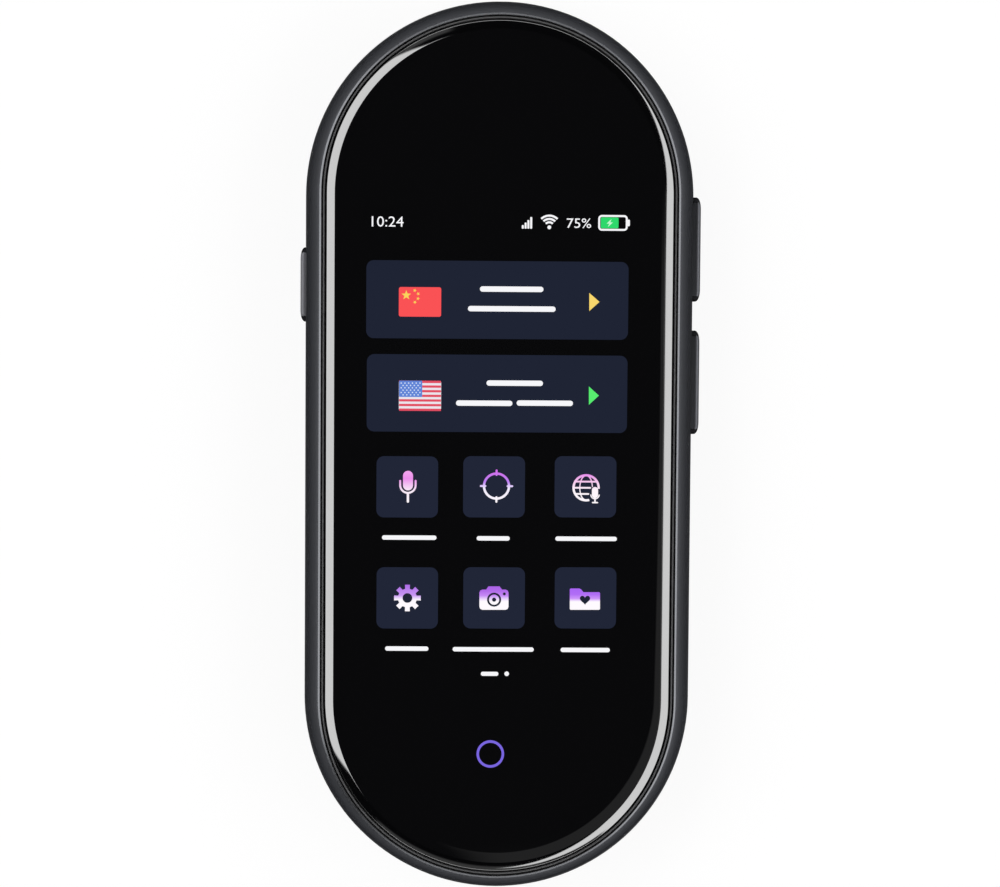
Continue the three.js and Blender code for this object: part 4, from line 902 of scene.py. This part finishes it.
centre = at(407.4, 598.0)
tooth_points = ((-14, 9.6), (-10.5, 13.6), (10.5, 13.6), (14, 9.6), (19, 9.4), (26, 9.4))
teeth = [polar(centre, radius, math.radians(90 + tooth * 45 + angle))
         for tooth in range(8) for angle, radius in tooth_points]
gear = Form().frame(teeth, drawn_in(teeth, centre, 4.9), CARD, INK)
mark(gear, "screen_icon_gear", lit_fade("screen_fade_gear", [
    (0.0, WHITE), (0.42, WHITE), (0.6, (200, 150, 244)), (1.0, (174, 108, 232))]))

snap = Form()
centre = at(494.1, 599.7)
corners = [at(x, y) for x, y in (
    (482.6, 589.6), (486.2, 589.6), (488.4, 586.4), (499.6, 586.4), (502.0, 589.6),
    (505.6, 589.6), (507.6, 590.5), (508.5, 592.6), (508.5, 606.8), (507.6, 608.9),
    (505.6, 609.8), (482.4, 609.8), (480.3, 608.9), (479.4, 606.8), (479.4, 592.6),
    (480.3, 590.5))]
case = [(x0 + (x1 - x0) * k / 6, y0 + (y1 - y0) * k / 6)
        for (x0, y0), (x1, y1) in zip(corners, corners[1:] + corners[:1]) for k in range(6)][::-1]
snap.frame(case, drawn_in(case, centre, 7.1), CARD, UNDER_INK)
snap.frame(circle(px(5.1), 48, centre), circle(px(2.1), 48, centre), CARD, UNDER_INK)
mark(snap, "screen_icon_camera", lit_fade("screen_fade_camera", [
    (0.0, WHITE), (0.36, WHITE), (0.6, (198, 138, 246)), (0.8, (178, 108, 234)),
    (1.0, (172, 100, 232))]))
spot = Form().prism(circle(px(1.5), 20, at(504.3, 593.9)), UNDER_INK, INK)
mark(spot, "screen_icon_camera_spot", card_look)

folder = flat(Form(), [
    (570.6, 588.5), (579.4, 588.5), (581.0, 589.3), (583.4, 592.2), (599.2, 592.2),
    (600.0, 593.0), (600.0, 609.0), (599.2, 609.8), (570.6, 609.8), (569.8, 609.0),
    (569.8, 589.3)], CARD, UNDER_INK)
mark(folder, "screen_icon_folder", lit_fade("screen_fade_folder", [
    (0.0, WHITE), (0.38, WHITE), (0.52, (206, 150, 250)), (0.72, (177, 110, 246)),
    (1.0, (170, 102, 246))]))
points = []
heart_steps = 40
for k in range(heart_steps):
    t = 2 * math.pi * k / heart_steps
    points.append((585.0 + 5.2 * math.sin(t) ** 3,
                   599.6 - (4.2 * math.cos(t) - 1.65 * math.cos(2 * t) - 0.65 * math.cos(3 * t)
                            - 0.3 * math.cos(4 * t))))
mark(flat(Form(), points, UNDER_INK, INK), "screen_icon_heart", card_look)

pages = Form()
patch(pages, 480.8, 671.8, 498.4, 675.9, 2.0, GLASS_TOP, INK)
pages.prism(circle(px(2.3), 24, at(506.7, 673.8)), GLASS_TOP, INK)
mark(pages, "screen_page_marks", white_look)

centre = at(490.3, 754.0)
ring = Form().frame(circle(px(13.9), 96, centre), circle(px(11.4), 96, centre), GLASS_TOP, INK)
mark(ring, "home_ring_mark", lit("screen_home_violet", (122, 103, 224)))

# Floor and light


def fresh_tree(owner):
    """The empty node tree of a material or world."""
    owner.use_nodes = True
    owner.node_tree.nodes.clear()
    return owner.node_tree


def node(kind, **settings):
    """A new node of the tree at hand."""
    made = tree.nodes.new(kind)
    for key, value in settings.items():
        setattr(made, key, value)
    return made


def combine(operation, a, b=0.0):
    """A Math node of two outputs or numbers."""
    made = node("ShaderNodeMath", operation=operation)
    for socket, value in zip(made.inputs, (a, b)):
        if isinstance(value, (int, float)):
            socket.default_value = value
        else:
            tree.links.new(value, socket)
    return made.outputs[0]


# The floor glows where the camera, gloss and glass see it, and elsewhere it is plain white paper
FLOOR_HALF = 3
FLOOR_DROP = 0.02 * MM  # so that it shares no plane with the flat back
FLOOR_WHITE = 0.9
GLOW_SHARE = 0.9  # what is left keeps the object's shadow
floor_mesh = bpy.data.meshes.new("floor")
floor_mesh.from_pydata([(x * FLOOR_HALF, y * FLOOR_HALF, -FLOOR_DROP) for x, y in (
    (-1, -1), (1, -1), (1, 1), (-1, 1))], [], [(0, 1, 2, 3)])
floor = put("floor", floor_mesh)
floor_look = bpy.data.materials.new("floor_white")
tree = fresh_tree(floor_look)
paper = node("ShaderNodeBsdfDiffuse")
paper.inputs["Color"].default_value = (FLOOR_WHITE, FLOOR_WHITE, FLOOR_WHITE, 1)
glow = node("ShaderNodeEmission")
glow.inputs["Color"].default_value = (1, 1, 1, 1)
glow.inputs["Strength"].default_value = 1.0
rays = node("ShaderNodeLightPath").outputs
seen = combine("MAXIMUM", rays["Is Camera Ray"], rays["Is Glossy Ray"])
seen = combine("MAXIMUM", seen, rays["Is Transmission Ray"])
mix = node("ShaderNodeMixShader")
tree.links.new(combine("MULTIPLY", seen, GLOW_SHARE), mix.inputs["Fac"])
tree.links.new(paper.outputs[0], mix.inputs[1])
tree.links.new(glow.outputs[0], mix.inputs[2])
tree.links.new(mix.outputs[0], node("ShaderNodeOutputMaterial").inputs["Surface"])
floor.data.materials.append(floor_look)


def step(value, start, end, low=0.0, high=1.0):
    """A smooth step of an angle, between two values in degrees, from low to high."""
    made = node("ShaderNodeMapRange", interpolation_type="SMOOTHSTEP")
    for key, number in (("From Min", math.radians(start)), ("From Max", math.radians(end)),
                        ("To Min", low), ("To Max", high)):
        made.inputs[key].default_value = number
    tree.links.new(value, made.inputs["Value"])
    return made.outputs["Result"]


MID_TILT = 51  # where a panel has its given middle and width


def softbox(middle, half, low, high, strength, lean=0.0, spread=0.0, edge=2.0, soft=2.0):
    """A curved light panel: its middle and half width round the object, its lowest and
    highest tilt from straight above, all in degrees. A lean turns its middle and a spread
    widens it, in degrees for each degree of tilt past MID_TILT."""
    a = math.radians(middle)
    around = []
    for direction in ((math.cos(a), math.sin(a), 0), (-math.sin(a), math.cos(a), 0)):
        toward = node("ShaderNodeVectorMath", operation="DOT_PRODUCT")
        tree.links.new(level.outputs[0], toward.inputs[0])
        toward.inputs[1].default_value = direction
        around.append(toward.outputs["Value"])
    turned = combine("ARCTAN2", around[1], around[0])
    past = combine("SUBTRACT", tilt, math.radians(MID_TILT))
    turned = combine("ABSOLUTE", combine("SUBTRACT", turned, combine("MULTIPLY", past, lean)))
    turned = combine("SUBTRACT", turned, combine("MULTIPLY", past, spread))
    across = step(turned, half - edge, half + edge, 1.0, 0.0)
    rise = step(tilt, low - soft, low + soft)
    fall = step(tilt, high - soft, high + soft, 1.0, 0.0)
    return combine("MULTIPLY", combine("MULTIPLY", across, strength),
                   combine("MULTIPLY", rise, fall))


# The world is a dark studio: a panel at each flank, one for the lower end of the glass's right
# edge, one low at each round end, and three faint ones for soft greys in the glass. It is white
# near the horizon, and all white to the camera.
LIGHTS = [
    dict(middle=166.7, half=46.5, low=36, high=69, strength=3.6, spread=-1.0),
    dict(middle=-16.5, half=40.5, low=43.5, high=72, strength=3.6, lean=1.3, spread=1.3),
    dict(middle=-46, half=16, low=43.5, high=59.8, strength=3.6, lean=-1.5, spread=1.5, soft=0.8),
    dict(middle=82, half=42, low=63, high=74, strength=3.8, edge=10, soft=3),
    dict(middle=-90, half=36, low=67, high=77, strength=3.8, edge=10, soft=2.5),
    dict(middle=-42, half=50, low=15.4, high=27.5, strength=0.75, edge=7, soft=0.8),
    dict(middle=-101, half=25, low=57, high=72, strength=0.2),
    dict(middle=114, half=9, low=52, high=72, strength=0.24),
]
world = bpy.data.worlds.new("studio")
scene.world = world
tree = fresh_tree(world)
split = node("ShaderNodeSeparateXYZ")
tree.links.new(node("ShaderNodeTexCoord").outputs["Generated"], split.inputs[0])
tilt = combine("ARCCOSINE", split.outputs["Z"])
level = node("ShaderNodeCombineXYZ")
tree.links.new(split.outputs["X"], level.inputs["X"])
tree.links.new(split.outputs["Y"], level.inputs["Y"])
total = step(tilt, 70, 76)
for light in LIGHTS:
    total = combine("MAXIMUM", total, softbox(**light))
total = combine("MAXIMUM", total, node("ShaderNodeLightPath").outputs["Is Camera Ray"])
back = node("ShaderNodeBackground")
back.inputs["Color"].default_value = (1, 1, 1, 1)
tree.links.new(total, back.inputs["Strength"])
tree.links.new(back.outputs[0], node("ShaderNodeOutputWorld").inputs["Surface"])
scene.view_settings.view_transform = "Standard"
